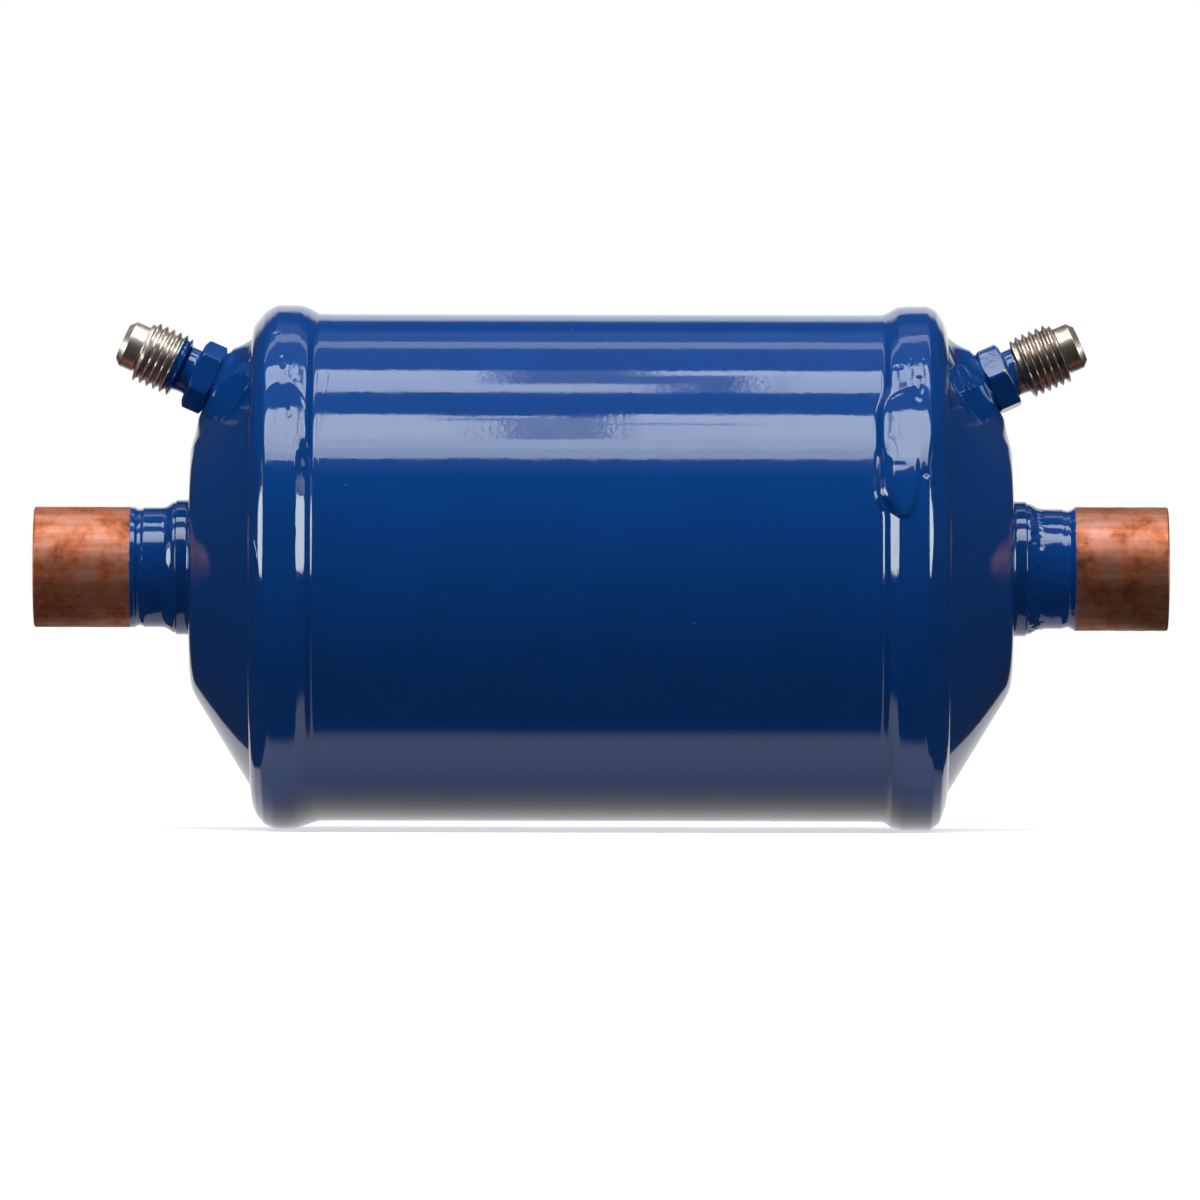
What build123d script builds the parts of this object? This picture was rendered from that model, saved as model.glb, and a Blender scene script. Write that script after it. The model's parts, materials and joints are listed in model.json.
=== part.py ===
from build123d import *
from math import atan, cos, degrees, radians, sin, tan
import os

# Suction-line filter drier. +X runs along the drier from inlet to outlet, +Z points up through the
# access valves, and the origin is on the axis at mid-length. Millimetres.

# ---- shell ----
shell_od = 88.9
shell_wall = 2.0
shell_length = 113.0

# ---- end caps ----
cap_wall = 2.2
cap_fit = 0.05  # radial gap between skirt and shell
skirt_length = 9.0  # from the shoulder corner back into the shell
shoulder_stand_out = 2.5  # shoulder corner beyond the end of the shell
cone_height = 13.0  # along the axis, from shoulder corner to crown
cone_angle = 58.6  # between the cone and the axis
shoulder_radius = 5.0
crown_radius = 8.0
collar_od = 23.6
collar_height = 2.6
collar_root_radius = 0.8
collar_edge_radius = 0.3
collar_lip_radius = 1.4  # inside, where the metal runs into the collar

# ---- seam welds, measured from the end of the shell ----
weld_toe = 6.8  # inboard
weld_heel = 4.8  # outboard
weld_crest_back = 3.2  # inboard end of the flat crest
weld_crest_front = 1.0
weld_root = 0.4  # how far the bead's heel bites below the cone

# ---- copper connections ----
socket_reach = 24.8  # rim beyond the mouth of the collar
socket_bore = 19.16  # for 3/4 in tube
neck_od = 21.0
neck_wall = 1.15
stop_bead_height = 0.35
braze_fit = 0.05  # radial gap in the brazed joint
connection_inset = 0.6  # reach past the inner face of the crown
rim_radius = 0.4
rim_chamfer = 0.25

# ---- access valves, measured along the valve axis from the foot of the hex ----
valve_angle = 23.7  # between valve axis and drier axis
valve_back = 6.37  # where the valve axis meets the cone, behind the crown
valve_stand_off = 2.37  # foot of the hex above the cone, along the valve axis
spigot_od = 7.6
spigot_length = 4.5
hex_across_flats = 11.1
hex_length = 4.1
hex_chamfer = 0.45
neck_diameter = 8.2
neck_end = 5.8
thread_od = 11.1
thread_end = 14.0
thread_lead_in = 0.8
nose_diameter = 8.3
valve_length = 17.6
flare_height = 1.0  # of the 45 degree cone
mouth_chamfer = 0.2
spigot_fit = 0.05

# ---- formed boss under each valve ----
boss_top_radius = 6.6
boss_flare = 51.0  # between the boss's flank and the valve axis
boss_depth = 3.7
boss_foot_radius = 11.9
boss_flank_sag = -0.35  # hollow of the flank
boss_rim_radius = 0.6
boss_recess_depth = 4.3
valve_braze_height = 0.5
valve_braze_foot = 12.2  # diameter on the boss
valve_braze_head = 10.7  # diameter under the hex

# ---- valve core ----
core_bore = 5.24
core_seat = 11.2
passage_bore = 4.2
core_seat_taper = 0.6
core_fit = 0.02
core_head_top = 15.4
tongue_height = 1.3
tongue_width = 1.7
head_foot = 11.9
gland_length = 1.5
gland_core_diameter = 3.0
barrel_diameter = 3.9
barrel_foot = 5.0
pin_diameter = 1.0
pin_clearance = 0.06
pin_tip = 17.1
spring_chamber = 2.7
chamber_top = 13.4
chamber_foot = 7.4
collar_thickness = 0.5
collar_diameter = 2.3
collar_play = 0.1
cup_diameter = 3.4
cup_thickness = 0.4
seal_thickness = 0.55
seal_diameter = 3.2
seal_gap = 0.05
valve_spring_wire = 0.26
valve_spring_turns = 3
valve_spring_diameter = 1.9

# ---- drying block and what holds it ----
block_diameter = 73.6
block_length = 74.0
block_draft = 0.5
block_bore = 18.0
block_bore_depth = 56.0
block_bore_draft = 1.5
block_edge = 1.5
pad_thickness = 5.0
pad_fit = 0.25
screen_thickness = 0.4
screen_diameter = 78.0
plate_thickness = 1.2
plate_rim = 4.6  # from the face of the plate back to the skirt of the outlet cap
plate_fit = 0.1
plate_bend_radius = 1.6
hole_diameter = 5.5
hole_spacing = 10.4
hole_field_radius = 26.0
hole_rows = 9
spring_plate_thickness = 1.0
spring_plate_fit = 0.3
spring_plate_bend = 1.2
tab_fit = 0.15
spring_plate_rim = 5.0
spring_boss_diameter = 15.0
spring_boss_height = 3.0
tab_count = 3
tab_width = 12.0
block_spring_wire = 2.6
block_spring_turns = 3
block_spring_large = 34.0
block_spring_small = 22.0

# What follows from the values above.
shell_radius = shell_od / 2
shell_bore_radius = shell_radius - shell_wall
shell_end = shell_length / 2
skirt_radius = shell_bore_radius - cap_fit
shoulder_x = shell_end + shoulder_stand_out
skirt_end = shoulder_x - skirt_length
crown_x = shoulder_x + cone_height
crown_corner = skirt_radius - cone_height * tan(radians(cone_angle))
crown_turn = 90 - cone_angle
collar_mouth = crown_x + collar_height
joint_radius = neck_od / 2 + braze_fit
neck_bore = neck_od - 2 * neck_wall
rim_x = collar_mouth + socket_reach
valve_foot_x = crown_x - valve_back
valve_foot_z = skirt_radius - (valve_foot_x - shoulder_x) * tan(radians(cone_angle))
weld_toe_x = shell_end - weld_toe
heel = shell_end + weld_heel
heel_foot = skirt_radius - (heel - shoulder_x) * tan(radians(cone_angle)) - weld_root
boss_top = -valve_braze_height
boss_slope = tan(radians(boss_flare))
recess_top = boss_top - cap_wall
recess_radius = boss_top_radius - cap_wall * tan(radians((90 - boss_flare) / 2))
pin_guide = pin_diameter / 2 + pin_clearance
gland_foot = head_foot - gland_length
cup_foot = barrel_foot - seal_gap - seal_thickness - cup_thickness
collar_foot = chamber_top - collar_play - collar_thickness
cup_radius = block_diameter / 2 - block_length * tan(radians(block_draft)) + spring_plate_fit
valve_spring_height = collar_foot - chamber_foot - valve_spring_wire

# The two ends differ a little: the tube of the connection, its tube-stop groove, the length of the
# braze fillet, the height of the weld and how far each hex was turned when it was set.
ends = {
    "inlet": {
        "out": -1,
        "socket_od": 21.1,
        "groove_reach": 6.3,
        "groove_width": 1.6,
        "groove_depth": 0.35,
        "braze_length": 2.5,
        "weld_height": 1.45,
        "hex_turn": 5.5,
    },
    "outlet": {
        "out": 1,
        "socket_od": 21.7,
        "groove_reach": 7.3,
        "groove_width": 2.4,
        "groove_depth": 0.25,
        "braze_length": 3.1,
        "weld_height": 1.6,
        "hex_turn": 24.0,
    },
}


def save(piece, name):
    piece.label = name
    export_step(piece, f"parts/{name}.step")


def cap_corners(inset):
    """Corners of the cap's filled half-section, with its surface moved inwards by inset."""
    skirt = skirt_radius - inset
    return [
        (skirt_end - inset, 0),
        (skirt_end - inset, skirt),
        (shoulder_x - inset * tan(radians(cone_angle / 2)), skirt),
        (crown_x - inset, crown_corner - inset * tan(radians(crown_turn / 2))),
        (crown_x - inset, 0),
    ]


def cap_radii(inset):
    return [0, 0, shoulder_radius - inset, crown_radius - inset, 0]


os.makedirs("parts", exist_ok=True)

# ================= shell =================
with BuildPart() as shell:
    with BuildSketch(Plane.YZ):
        Circle(shell_radius)
        Circle(shell_bore_radius, mode=Mode.SUBTRACT)
    extrude(amount=shell_end, both=True)
save(shell.part, "shell")

# ================= the two ends =================
for end, size in ends.items():
    # Sections are drawn with x outwards along the drier and y up.
    out = Vector(size["out"], 0, 0)
    section = Plane(origin=(0, 0, 0), x_dir=out, z_dir=Vector(0, -size["out"], 0))
    axis = Axis((0, 0, 0), out)

    # Valve sections are drawn with x along the valve, from the foot of its hex, and y across it.
    valve_out = Vector(size["out"] * cos(radians(valve_angle)), 0, sin(radians(valve_angle)))
    valve_seat = Vector(size["out"] * valve_foot_x, 0, valve_foot_z) + valve_out * valve_stand_off
    valve_section = Plane(origin=valve_seat, x_dir=valve_out, z_dir=section.z_dir)
    valve_axis = Axis(valve_seat, valve_out)

    # ---- pressed cap, with its collar and its formed boss ----
    with BuildPart() as end_cap:
        with BuildSketch(section):
            with BuildLine():
                FilletPolyline(*cap_corners(0), radius=cap_radii(0), close=True)
            make_face()
        revolve(axis=axis)
        with BuildSketch(section):
            with BuildLine():
                FilletPolyline(
                    (crown_x - cap_wall, 0),
                    (crown_x - cap_wall, collar_od / 2 + 2 * collar_root_radius),
                    (crown_x, collar_od / 2 + 2 * collar_root_radius),
                    (crown_x, collar_od / 2),
                    (collar_mouth, collar_od / 2),
                    (collar_mouth, 0),
                    radius=[0, 0, collar_root_radius, collar_edge_radius],
                )
                Line((collar_mouth, 0), (crown_x - cap_wall, 0))
            make_face()
        revolve(axis=axis)
        with BuildSketch(valve_section):
            with BuildLine():
                Polyline(
                    (boss_top - boss_depth, boss_foot_radius),
                    (boss_top - boss_depth, 0),
                    (boss_top, 0),
                    (boss_top, boss_top_radius),
                )
                SagittaArc(
                    (boss_top, boss_top_radius),
                    (boss_top - boss_depth, boss_foot_radius),
                    boss_flank_sag,
                )
            make_face()
        revolve(axis=valve_axis)
        boss_rim = end_cap.edges().filter_by(GeomType.CIRCLE).filter_by(
            lambda edge: abs(edge.radius - boss_top_radius) < 1e-6
        )
        fillet(boss_rim, radius=boss_rim_radius)
        with BuildSketch(section):
            with BuildLine():
                FilletPolyline(*cap_corners(cap_wall), radius=cap_radii(cap_wall), close=True)
            make_face()
        revolve(axis=axis, mode=Mode.SUBTRACT)
        with BuildSketch(valve_section):
            Polygon(
                (recess_top, 0),
                (recess_top, recess_radius),
                (recess_top - boss_recess_depth, recess_radius + boss_recess_depth * boss_slope),
                (recess_top - boss_recess_depth, 0),
                align=None,
            )
        revolve(axis=valve_axis, mode=Mode.SUBTRACT)
        with BuildSketch(Plane(origin=out * collar_mouth, z_dir=out)):
            Circle(joint_radius)
        extrude(amount=-(collar_height + 2 * cap_wall), mode=Mode.SUBTRACT)
        collar_lip = end_cap.edges(Select.LAST).filter_by(GeomType.CIRCLE).sort_by(axis)[0]
        fillet(collar_lip, radius=collar_lip_radius)
        with BuildSketch(Plane(origin=valve_seat, z_dir=valve_out)):
            Circle(spigot_od / 2 + spigot_fit)
        extrude(amount=-(spigot_length + cap_wall), mode=Mode.SUBTRACT)
    save(end_cap.part, f"{end}_end_cap")

    # ---- seam weld: a bead over the end of the shell, run down onto the cap ----
    with BuildPart() as seam_weld:
        crest = shell_radius + size["weld_height"]
        crest_back = shell_end - weld_crest_back
        crest_front = shell_end + weld_crest_front
        with BuildSketch(section):
            with BuildLine():
                EllipticalCenterArc(
                    (crest_back, shell_radius),
                    crest_back - weld_toe_x,
                    size["weld_height"],
                    start_angle=90,
                    arc_size=90,
                )
                Line((crest_back, crest), (crest_front, crest))
                EllipticalCenterArc(
                    (crest_front, heel_foot),
                    heel - crest_front,
                    crest - heel_foot,
                    start_angle=0,
                    arc_size=90,
                )
                Polyline(
                    (heel, heel_foot),
                    (skirt_end, heel_foot),
                    (skirt_end, shell_radius),
                    (weld_toe_x, shell_radius),
                )
            make_face()
        revolve(axis=axis)
        with BuildSketch(section):
            with BuildLine():
                FilletPolyline(*cap_corners(0), radius=cap_radii(0), close=True)
            make_face()
            Rectangle(shell_end, shell_radius, align=(Align.MIN, Align.MIN))
        revolve(axis=axis, mode=Mode.SUBTRACT)
        add(end_cap.part, mode=Mode.SUBTRACT)
    save(seam_weld.part, f"{end}_seam_weld")

    # ---- copper connection: a tube with a rolled groove that stops the pipe ----
    with BuildPart() as connection:
        groove_x = collar_mouth + size["groove_reach"]
        groove_start = groove_x - size["groove_width"] / 2
        groove_end = groove_x + size["groove_width"] / 2
        inner_end = crown_x - cap_wall - connection_inset
        tube_radius = size["socket_od"] / 2
        with BuildSketch(section):
            with BuildLine():
                Line((inner_end, neck_od / 2), (groove_start, neck_od / 2))
                ThreePointArc(
                    (groove_start, neck_od / 2),
                    (groove_x, neck_od / 2 - size["groove_depth"]),
                    (groove_end, tube_radius),
                )
                FilletPolyline(
                    (groove_end, tube_radius),
                    (rim_x, tube_radius),
                    (rim_x, socket_bore / 2 + rim_chamfer),
                    radius=rim_radius,
                )
                Polyline(
                    (rim_x, socket_bore / 2 + rim_chamfer),
                    (rim_x - rim_chamfer, socket_bore / 2),
                    (groove_end, socket_bore / 2),
                )
                ThreePointArc(
                    (groove_end, socket_bore / 2),
                    (groove_x, neck_bore / 2 - stop_bead_height),
                    (groove_start, neck_bore / 2),
                )
                Line((groove_start, neck_bore / 2), (inner_end, neck_bore / 2))
                Line((inner_end, neck_bore / 2), (inner_end, neck_od / 2))
            make_face()
        revolve(axis=axis)
    save(connection.part, f"{end}_connection")

    # ---- braze fillet between the collar's face and the connection ----
    with BuildPart() as connection_braze:
        fillet_end = collar_mouth + size["braze_length"]
        with BuildSketch(section):
            with BuildLine():
                Bezier(
                    (collar_mouth, collar_od / 2 - collar_edge_radius),
                    (collar_mouth + size["braze_length"] / 3, collar_od / 2 - collar_edge_radius),
                    (collar_mouth + size["braze_length"] / 2, neck_od / 2),
                    (fillet_end, neck_od / 2),
                )
                Polyline(
                    (fillet_end, neck_od / 2),
                    (collar_mouth, neck_od / 2),
                    (collar_mouth, collar_od / 2 - collar_edge_radius),
                )
            make_face()
        revolve(axis=axis)
    save(connection_braze.part, f"{end}_connection_braze")

    # ---- access valve: one turned piece ----
    with BuildPart() as valve_body:
        with BuildSketch(Plane(origin=valve_seat, z_dir=valve_out)):
            RegularPolygon(hex_across_flats / 2, 6, major_radius=False, rotation=size["hex_turn"])
        extrude(amount=hex_length)
        hex_corner = hex_across_flats / 2 / cos(radians(30))
        with BuildSketch(valve_section):
            Polygon(
                (0, 0),
                (0, hex_corner - hex_chamfer / 2),
                (hex_chamfer / 2, hex_corner),
                (hex_length - hex_chamfer, hex_corner),
                (hex_length, hex_corner - hex_chamfer),
                (hex_length, 0),
                align=None,
            )
        revolve(axis=valve_axis, mode=Mode.INTERSECT)
        with BuildSketch(valve_section):
            Polygon(
                (-spigot_length, 0),
                (-spigot_length, spigot_od / 2),
                (0, spigot_od / 2),
                (hex_length / 2, neck_diameter / 2),
                (neck_end, neck_diameter / 2),
                (neck_end + thread_lead_in, thread_od / 2),
                (thread_end - thread_lead_in / 2, thread_od / 2),
                (thread_end, nose_diameter / 2),
                (valve_length - flare_height, nose_diameter / 2),
                (valve_length, nose_diameter / 2 - flare_height),
                (valve_length, 0),
                align=None,
            )
        revolve(axis=valve_axis)
        with BuildSketch(valve_section):
            Polygon(
                (-spigot_length, 0),
                (-spigot_length, passage_bore / 2),
                (core_seat - core_seat_taper, passage_bore / 2),
                (core_seat, core_bore / 2),
                (valve_length - mouth_chamfer, core_bore / 2),
                (valve_length, core_bore / 2 + mouth_chamfer),
                (valve_length, 0),
                align=None,
            )
        revolve(axis=valve_axis, mode=Mode.SUBTRACT)
    save(valve_body.part, f"{end}_valve_body")

    # ---- braze ring under the hex ----
    with BuildPart() as valve_braze:
        with BuildSketch(valve_section):
            with BuildLine():
                ThreePointArc(
                    (boss_top, valve_braze_foot / 2),
                    (boss_top / 2, (valve_braze_foot + 2 * valve_braze_head) / 6),
                    (0, valve_braze_head / 2),
                )
                Polyline(
                    (0, valve_braze_head / 2),
                    (0, spigot_od / 2),
                    (boss_top, spigot_od / 2),
                    (boss_top, valve_braze_foot / 2),
                )
            make_face()
        revolve(axis=valve_axis)
    save(valve_braze.part, f"{end}_valve_braze")

    # ---- valve core: the screwed barrel, with a tongue for the core tool ----
    with BuildPart() as valve_barrel:
        with BuildSketch(valve_section):
            Polygon(
                (barrel_foot, pin_guide),
                (barrel_foot, barrel_diameter / 2),
                (gland_foot, barrel_diameter / 2),
                (gland_foot, gland_core_diameter / 2),
                (head_foot, gland_core_diameter / 2),
                (head_foot, core_bore / 2 - core_fit),
                (core_head_top + tongue_height, core_bore / 2 - core_fit),
                (core_head_top + tongue_height, pin_guide),
                (chamber_top, pin_guide),
                (chamber_top, spring_chamber / 2),
                (chamber_foot, spring_chamber / 2),
                (chamber_foot, pin_guide),
                align=None,
            )
        revolve(axis=valve_axis)
        with BuildSketch(Plane(origin=valve_seat + valve_out * core_head_top, z_dir=valve_out)):
            Circle(core_bore)
            Rectangle(tongue_width, 2 * core_bore, mode=Mode.SUBTRACT)
        extrude(amount=2 * tongue_height, mode=Mode.SUBTRACT)
    save(valve_barrel.part, f"{end}_valve_barrel")

    # ---- gland seal in the barrel's waist, against the seat in the body ----
    with BuildPart() as gland_seal:
        with BuildSketch(valve_section):
            Polygon(
                (gland_foot, gland_core_diameter / 2),
                (gland_foot, passage_bore / 2 - core_fit),
                (core_seat - core_seat_taper, passage_bore / 2 - core_fit),
                (core_seat, core_bore / 2 - core_fit),
                (head_foot, core_bore / 2 - core_fit),
                (head_foot, gland_core_diameter / 2),
                align=None,
            )
        revolve(axis=valve_axis)
    save(gland_seal.part, f"{end}_valve_gland_seal")

    # ---- sliding pin, with the spring's collar above and the seal's cup below ----
    with BuildPart() as valve_pin:
        with BuildSketch(valve_section):
            Polygon(
                (cup_foot, 0),
                (cup_foot, cup_diameter / 2),
                (cup_foot + cup_thickness, cup_diameter / 2),
                (cup_foot + cup_thickness, pin_diameter / 2),
                (collar_foot, pin_diameter / 2),
                (collar_foot, collar_diameter / 2),
                (collar_foot + collar_thickness, collar_diameter / 2),
                (collar_foot + collar_thickness, pin_diameter / 2),
                (pin_tip - pin_diameter / 4, pin_diameter / 2),
                (pin_tip, pin_diameter / 4),
                (pin_tip, 0),
                align=None,
            )
        revolve(axis=valve_axis)
    save(valve_pin.part, f"{end}_valve_pin")

    # ---- rubber washer that the cup holds against the foot of the barrel ----
    with BuildPart() as seat_seal:
        with BuildSketch(Plane(origin=valve_seat + valve_out * (cup_foot + cup_thickness), z_dir=valve_out)):
            Circle(seal_diameter / 2)
            Circle(pin_diameter / 2, mode=Mode.SUBTRACT)
        extrude(amount=seal_thickness)
    save(seat_seal.part, f"{end}_valve_seat_seal")

    # ---- the spring that closes the core ----
    with BuildPart() as valve_spring:
        with BuildLine():
            coil = Helix(
                pitch=valve_spring_height / valve_spring_turns,
                height=valve_spring_height,
                radius=valve_spring_diameter / 2,
                center=valve_seat + valve_out * (chamber_foot + valve_spring_wire / 2),
                direction=valve_out,
            )
        with BuildSketch(Plane(origin=coil @ 0, z_dir=coil % 0)):
            Circle(valve_spring_wire / 2)
        sweep(path=coil, is_frenet=True)
    save(valve_spring.part, f"{end}_valve_spring")

# ================= drying block and what holds it =================
screen_end = skirt_end - plate_rim
pad_end = screen_end - screen_thickness
block_end = pad_end - pad_thickness
block_start = block_end - block_length

with BuildPart() as drying_block:
    with BuildSketch(Plane.YZ.offset(block_end)):
        Circle(block_diameter / 2)
    extrude(amount=-block_length, taper=block_draft)
    fillet(drying_block.edges().filter_by(GeomType.CIRCLE), radius=block_edge)
    with BuildSketch(Plane.YZ.offset(block_end)):
        Circle(block_bore / 2)
    extrude(amount=-block_bore_depth, taper=block_bore_draft, mode=Mode.SUBTRACT)
save(drying_block.part, "drying_block")

with BuildPart() as filter_pad:
    with BuildSketch(Plane.YZ.offset(block_end)):
        Circle(shell_bore_radius - pad_fit)
    extrude(amount=pad_thickness)
save(filter_pad.part, "filter_pad")

with BuildPart() as outlet_screen:
    with BuildSketch(Plane.YZ.offset(pad_end)):
        Circle(screen_diameter / 2)
    extrude(amount=screen_thickness)
save(outlet_screen.part, "outlet_screen")

# The plate's rim is turned back until it meets the skirt of the outlet cap.
with BuildPart() as support_plate:
    with BuildSketch(Plane.XZ):
        with BuildLine():
            rim_line = FilletPolyline(
                (screen_end, 0),
                (screen_end, shell_bore_radius - plate_fit),
                (skirt_end, shell_bore_radius - plate_fit),
                radius=plate_bend_radius,
            )
            offset(rim_line, amount=plate_thickness, side=Side.RIGHT)
        make_face()
    revolve(axis=Axis.X)
    grid = HexLocations(hole_spacing / 2, hole_rows, hole_rows)
    spots = [spot for spot in grid.local_locations if spot.position.length <= hole_field_radius]
    with BuildSketch(Plane.YZ.offset(screen_end)):
        with Locations(*spots):
            Circle(hole_diameter / 2)
    extrude(amount=plate_thickness, mode=Mode.SUBTRACT)
save(support_plate.part, "support_plate")

# A pressed cup over the inlet end of the block, with a boss inside the spring and tabs to the shell.
with BuildPart() as spring_plate:
    with BuildSketch(Plane.XZ):
        with BuildLine():
            cup_line = FilletPolyline(
                (block_start - spring_plate_thickness - spring_boss_height, 0),
                (block_start - spring_plate_thickness - spring_boss_height, spring_boss_diameter / 2),
                (block_start - spring_plate_thickness, spring_boss_diameter / 2 + spring_boss_height / 2),
                (block_start - spring_plate_thickness, cup_radius + spring_plate_thickness),
                (block_start + spring_plate_rim, cup_radius + spring_plate_thickness),
                radius=spring_plate_bend,
            )
            offset(cup_line, amount=spring_plate_thickness, side=Side.RIGHT)
        make_face()
    revolve(axis=Axis.X)
    with BuildSketch(Plane.YZ.offset(block_start + spring_plate_rim)):
        with PolarLocations(shell_bore_radius / 2, tab_count):
            Rectangle(shell_bore_radius, tab_width)
        Circle(shell_bore_radius - tab_fit, mode=Mode.INTERSECT)
        Circle(cup_radius, mode=Mode.SUBTRACT)
    extrude(amount=-spring_plate_thickness)
save(spring_plate.part, "spring_plate")

# ================= block spring =================
spring_start = -(crown_x - cap_wall) + block_spring_wire / 2
spring_height = block_start - spring_plate_thickness - block_spring_wire / 2 - spring_start
spring_slope = degrees(atan((block_spring_large - block_spring_small) / 2 / spring_height))

with BuildPart() as block_spring:
    with BuildLine():
        coil = Helix(
            pitch=spring_height / block_spring_turns,
            height=spring_height,
            radius=block_spring_large / 2,
            center=(spring_start, 0, 0),
            direction=(1, 0, 0),
            cone_angle=-spring_slope,
        )
    with BuildSketch(Plane(origin=coil @ 0, z_dir=coil % 0)):
        Circle(block_spring_wire / 2)
    sweep(path=coil, is_frenet=True)
save(block_spring.part, "block_spring")
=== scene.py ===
import json
import math

import bmesh
import bpy
import numpy as np
from mathutils import Matrix, Vector


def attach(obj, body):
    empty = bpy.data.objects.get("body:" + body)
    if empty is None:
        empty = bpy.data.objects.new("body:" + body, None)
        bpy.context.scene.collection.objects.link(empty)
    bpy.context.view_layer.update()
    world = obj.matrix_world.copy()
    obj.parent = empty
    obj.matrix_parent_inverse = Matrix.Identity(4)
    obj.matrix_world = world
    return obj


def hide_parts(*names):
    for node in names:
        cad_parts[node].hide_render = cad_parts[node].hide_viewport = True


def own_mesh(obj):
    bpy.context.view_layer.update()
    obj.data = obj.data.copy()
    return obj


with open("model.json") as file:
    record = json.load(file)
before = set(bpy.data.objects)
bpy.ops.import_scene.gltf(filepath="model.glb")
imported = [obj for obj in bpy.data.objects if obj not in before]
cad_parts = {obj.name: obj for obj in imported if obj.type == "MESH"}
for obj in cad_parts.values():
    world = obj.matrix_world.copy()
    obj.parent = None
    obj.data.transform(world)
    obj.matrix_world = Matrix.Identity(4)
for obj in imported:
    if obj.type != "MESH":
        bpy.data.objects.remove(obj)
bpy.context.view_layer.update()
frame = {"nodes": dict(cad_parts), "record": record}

mm = 0.001
print("frame loaded:", len(frame["nodes"]), "nodes")


def linear(hexColour):
    # sRGB hex to linear RGBA
    parts = [int(hexColour[i:i + 2], 16) / 255 for i in (1, 3, 5)]
    return [c / 12.92 if c <= 0.04045 else ((c + 0.055) / 1.055) ** 2.4 for c in parts] + [1.0]


def add(tree, kind, links=None, out=0, stops=None, **settings):
    # adds a node, sets it, feeds its inputs from sockets or values, and gives back one output or itself
    made = tree.nodes.new(kind)
    for name, value in settings.items():
        setattr(made, name, value)
    for key, value in (links or {}).items():
        if isinstance(value, bpy.types.NodeSocket):
            tree.links.new(value, made.inputs[key])
        else:
            colour = isinstance(value, str) and value.startswith("#")
            made.inputs[key].default_value = linear(value) if colour else value
    if stops:
        ramp = made.color_ramp.elements
        while len(ramp) < len(stops):
            ramp.new(0.5)
        for element, (place, colour) in zip(ramp, stops):
            element.position = place
            element.color = linear(colour) if isinstance(colour, str) else (colour,) * 3 + (1,)
    return made if out is None else made.outputs[out]


def maths(tree, operation, *values):
    # one Math node, its inputs in order
    return add(tree, "ShaderNodeMath", dict(enumerate(values)), operation=operation)


def ranged(tree, value, low, high, start=0.0, end=1.0, soft=False):
    # low to high becomes start to end, clamped; soft eases both ends
    ease = "SMOOTHSTEP" if soft else "LINEAR"
    return add(tree, "ShaderNodeMapRange", {0: value, 1: low, 2: high, 3: start, 4: end}, interpolation_type=ease)


def mixed(tree, share, first, second, kind="FLOAT", **settings):
    # first to second by share: numbers, vectors or colours
    socket, out = {"FLOAT": (2, 0), "VECTOR": (4, 1), "RGBA": (6, 2)}[kind]
    return add(tree, "ShaderNodeMix", {0: share, socket: first, socket + 1: second}, out, data_type=kind, **settings)


def noise(tree, place, size, detail, **inputs):
    # one noise with grains of about this size in metres
    return add(tree, "ShaderNodeTexNoise", {"Vector": place, "Scale": 1 / size, "Detail": detail, **inputs})


def bumped(tree, height, deep, strength=1.0, **inputs):
    return add(tree, "ShaderNodeBump", {"Strength": strength, "Distance": deep, "Height": height, **inputs})


def axes(tree, vector):
    return add(tree, "ShaderNodeSeparateXYZ", {0: vector}, out=None).outputs


def joined(tree, *values):
    return add(tree, "ShaderNodeCombineXYZ", dict(enumerate(values)))


def scaled(tree, vector, factors):
    return add(tree, "ShaderNodeMapping", {"Vector": vector, "Scale": factors})


# Camera: a long lens straight in front of the drier.
view = {"place": (-0.000175, -2.726, -0.00561), "lens": 466.2, "sensor": 36, "far": 50, "roll": math.radians(0.12)}
camera = bpy.data.objects.new("camera", bpy.data.cameras.new("camera"))
camera.data.lens = view["lens"]
camera.data.sensor_width = view["sensor"]
camera.data.clip_end = view["far"]
camera.matrix_world = (
    Matrix.Translation(view["place"])
    @ Matrix.Rotation(math.pi / 2, 4, "X")
    @ Matrix.Rotation(view["roll"], 4, "Z")
)
bpy.context.collection.objects.link(camera)
bpy.context.scene.camera = camera
bpy.context.scene.view_settings.view_transform = "Standard"

lampHue = (0.90, 0.985, 1.0)


def hang(name, shape, wide, tall, energy, spot, toLamp, side):
    # an area lamp at spot, shining back against toLamp, its width along side
    lamp = bpy.data.lights.new(name, "AREA")
    lamp.shape = shape
    lamp.size, lamp.size_y = wide, tall
    lamp.energy = energy
    lamp.color = lampHue
    holder = bpy.data.objects.new(name, lamp)
    turn = Matrix((side, toLamp.cross(side), toLamp)).transposed().to_4x4()
    holder.matrix_world = Matrix.Translation(spot) @ turn
    holder.visible_camera = False
    bpy.context.collection.objects.link(holder)
    return holder


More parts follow.
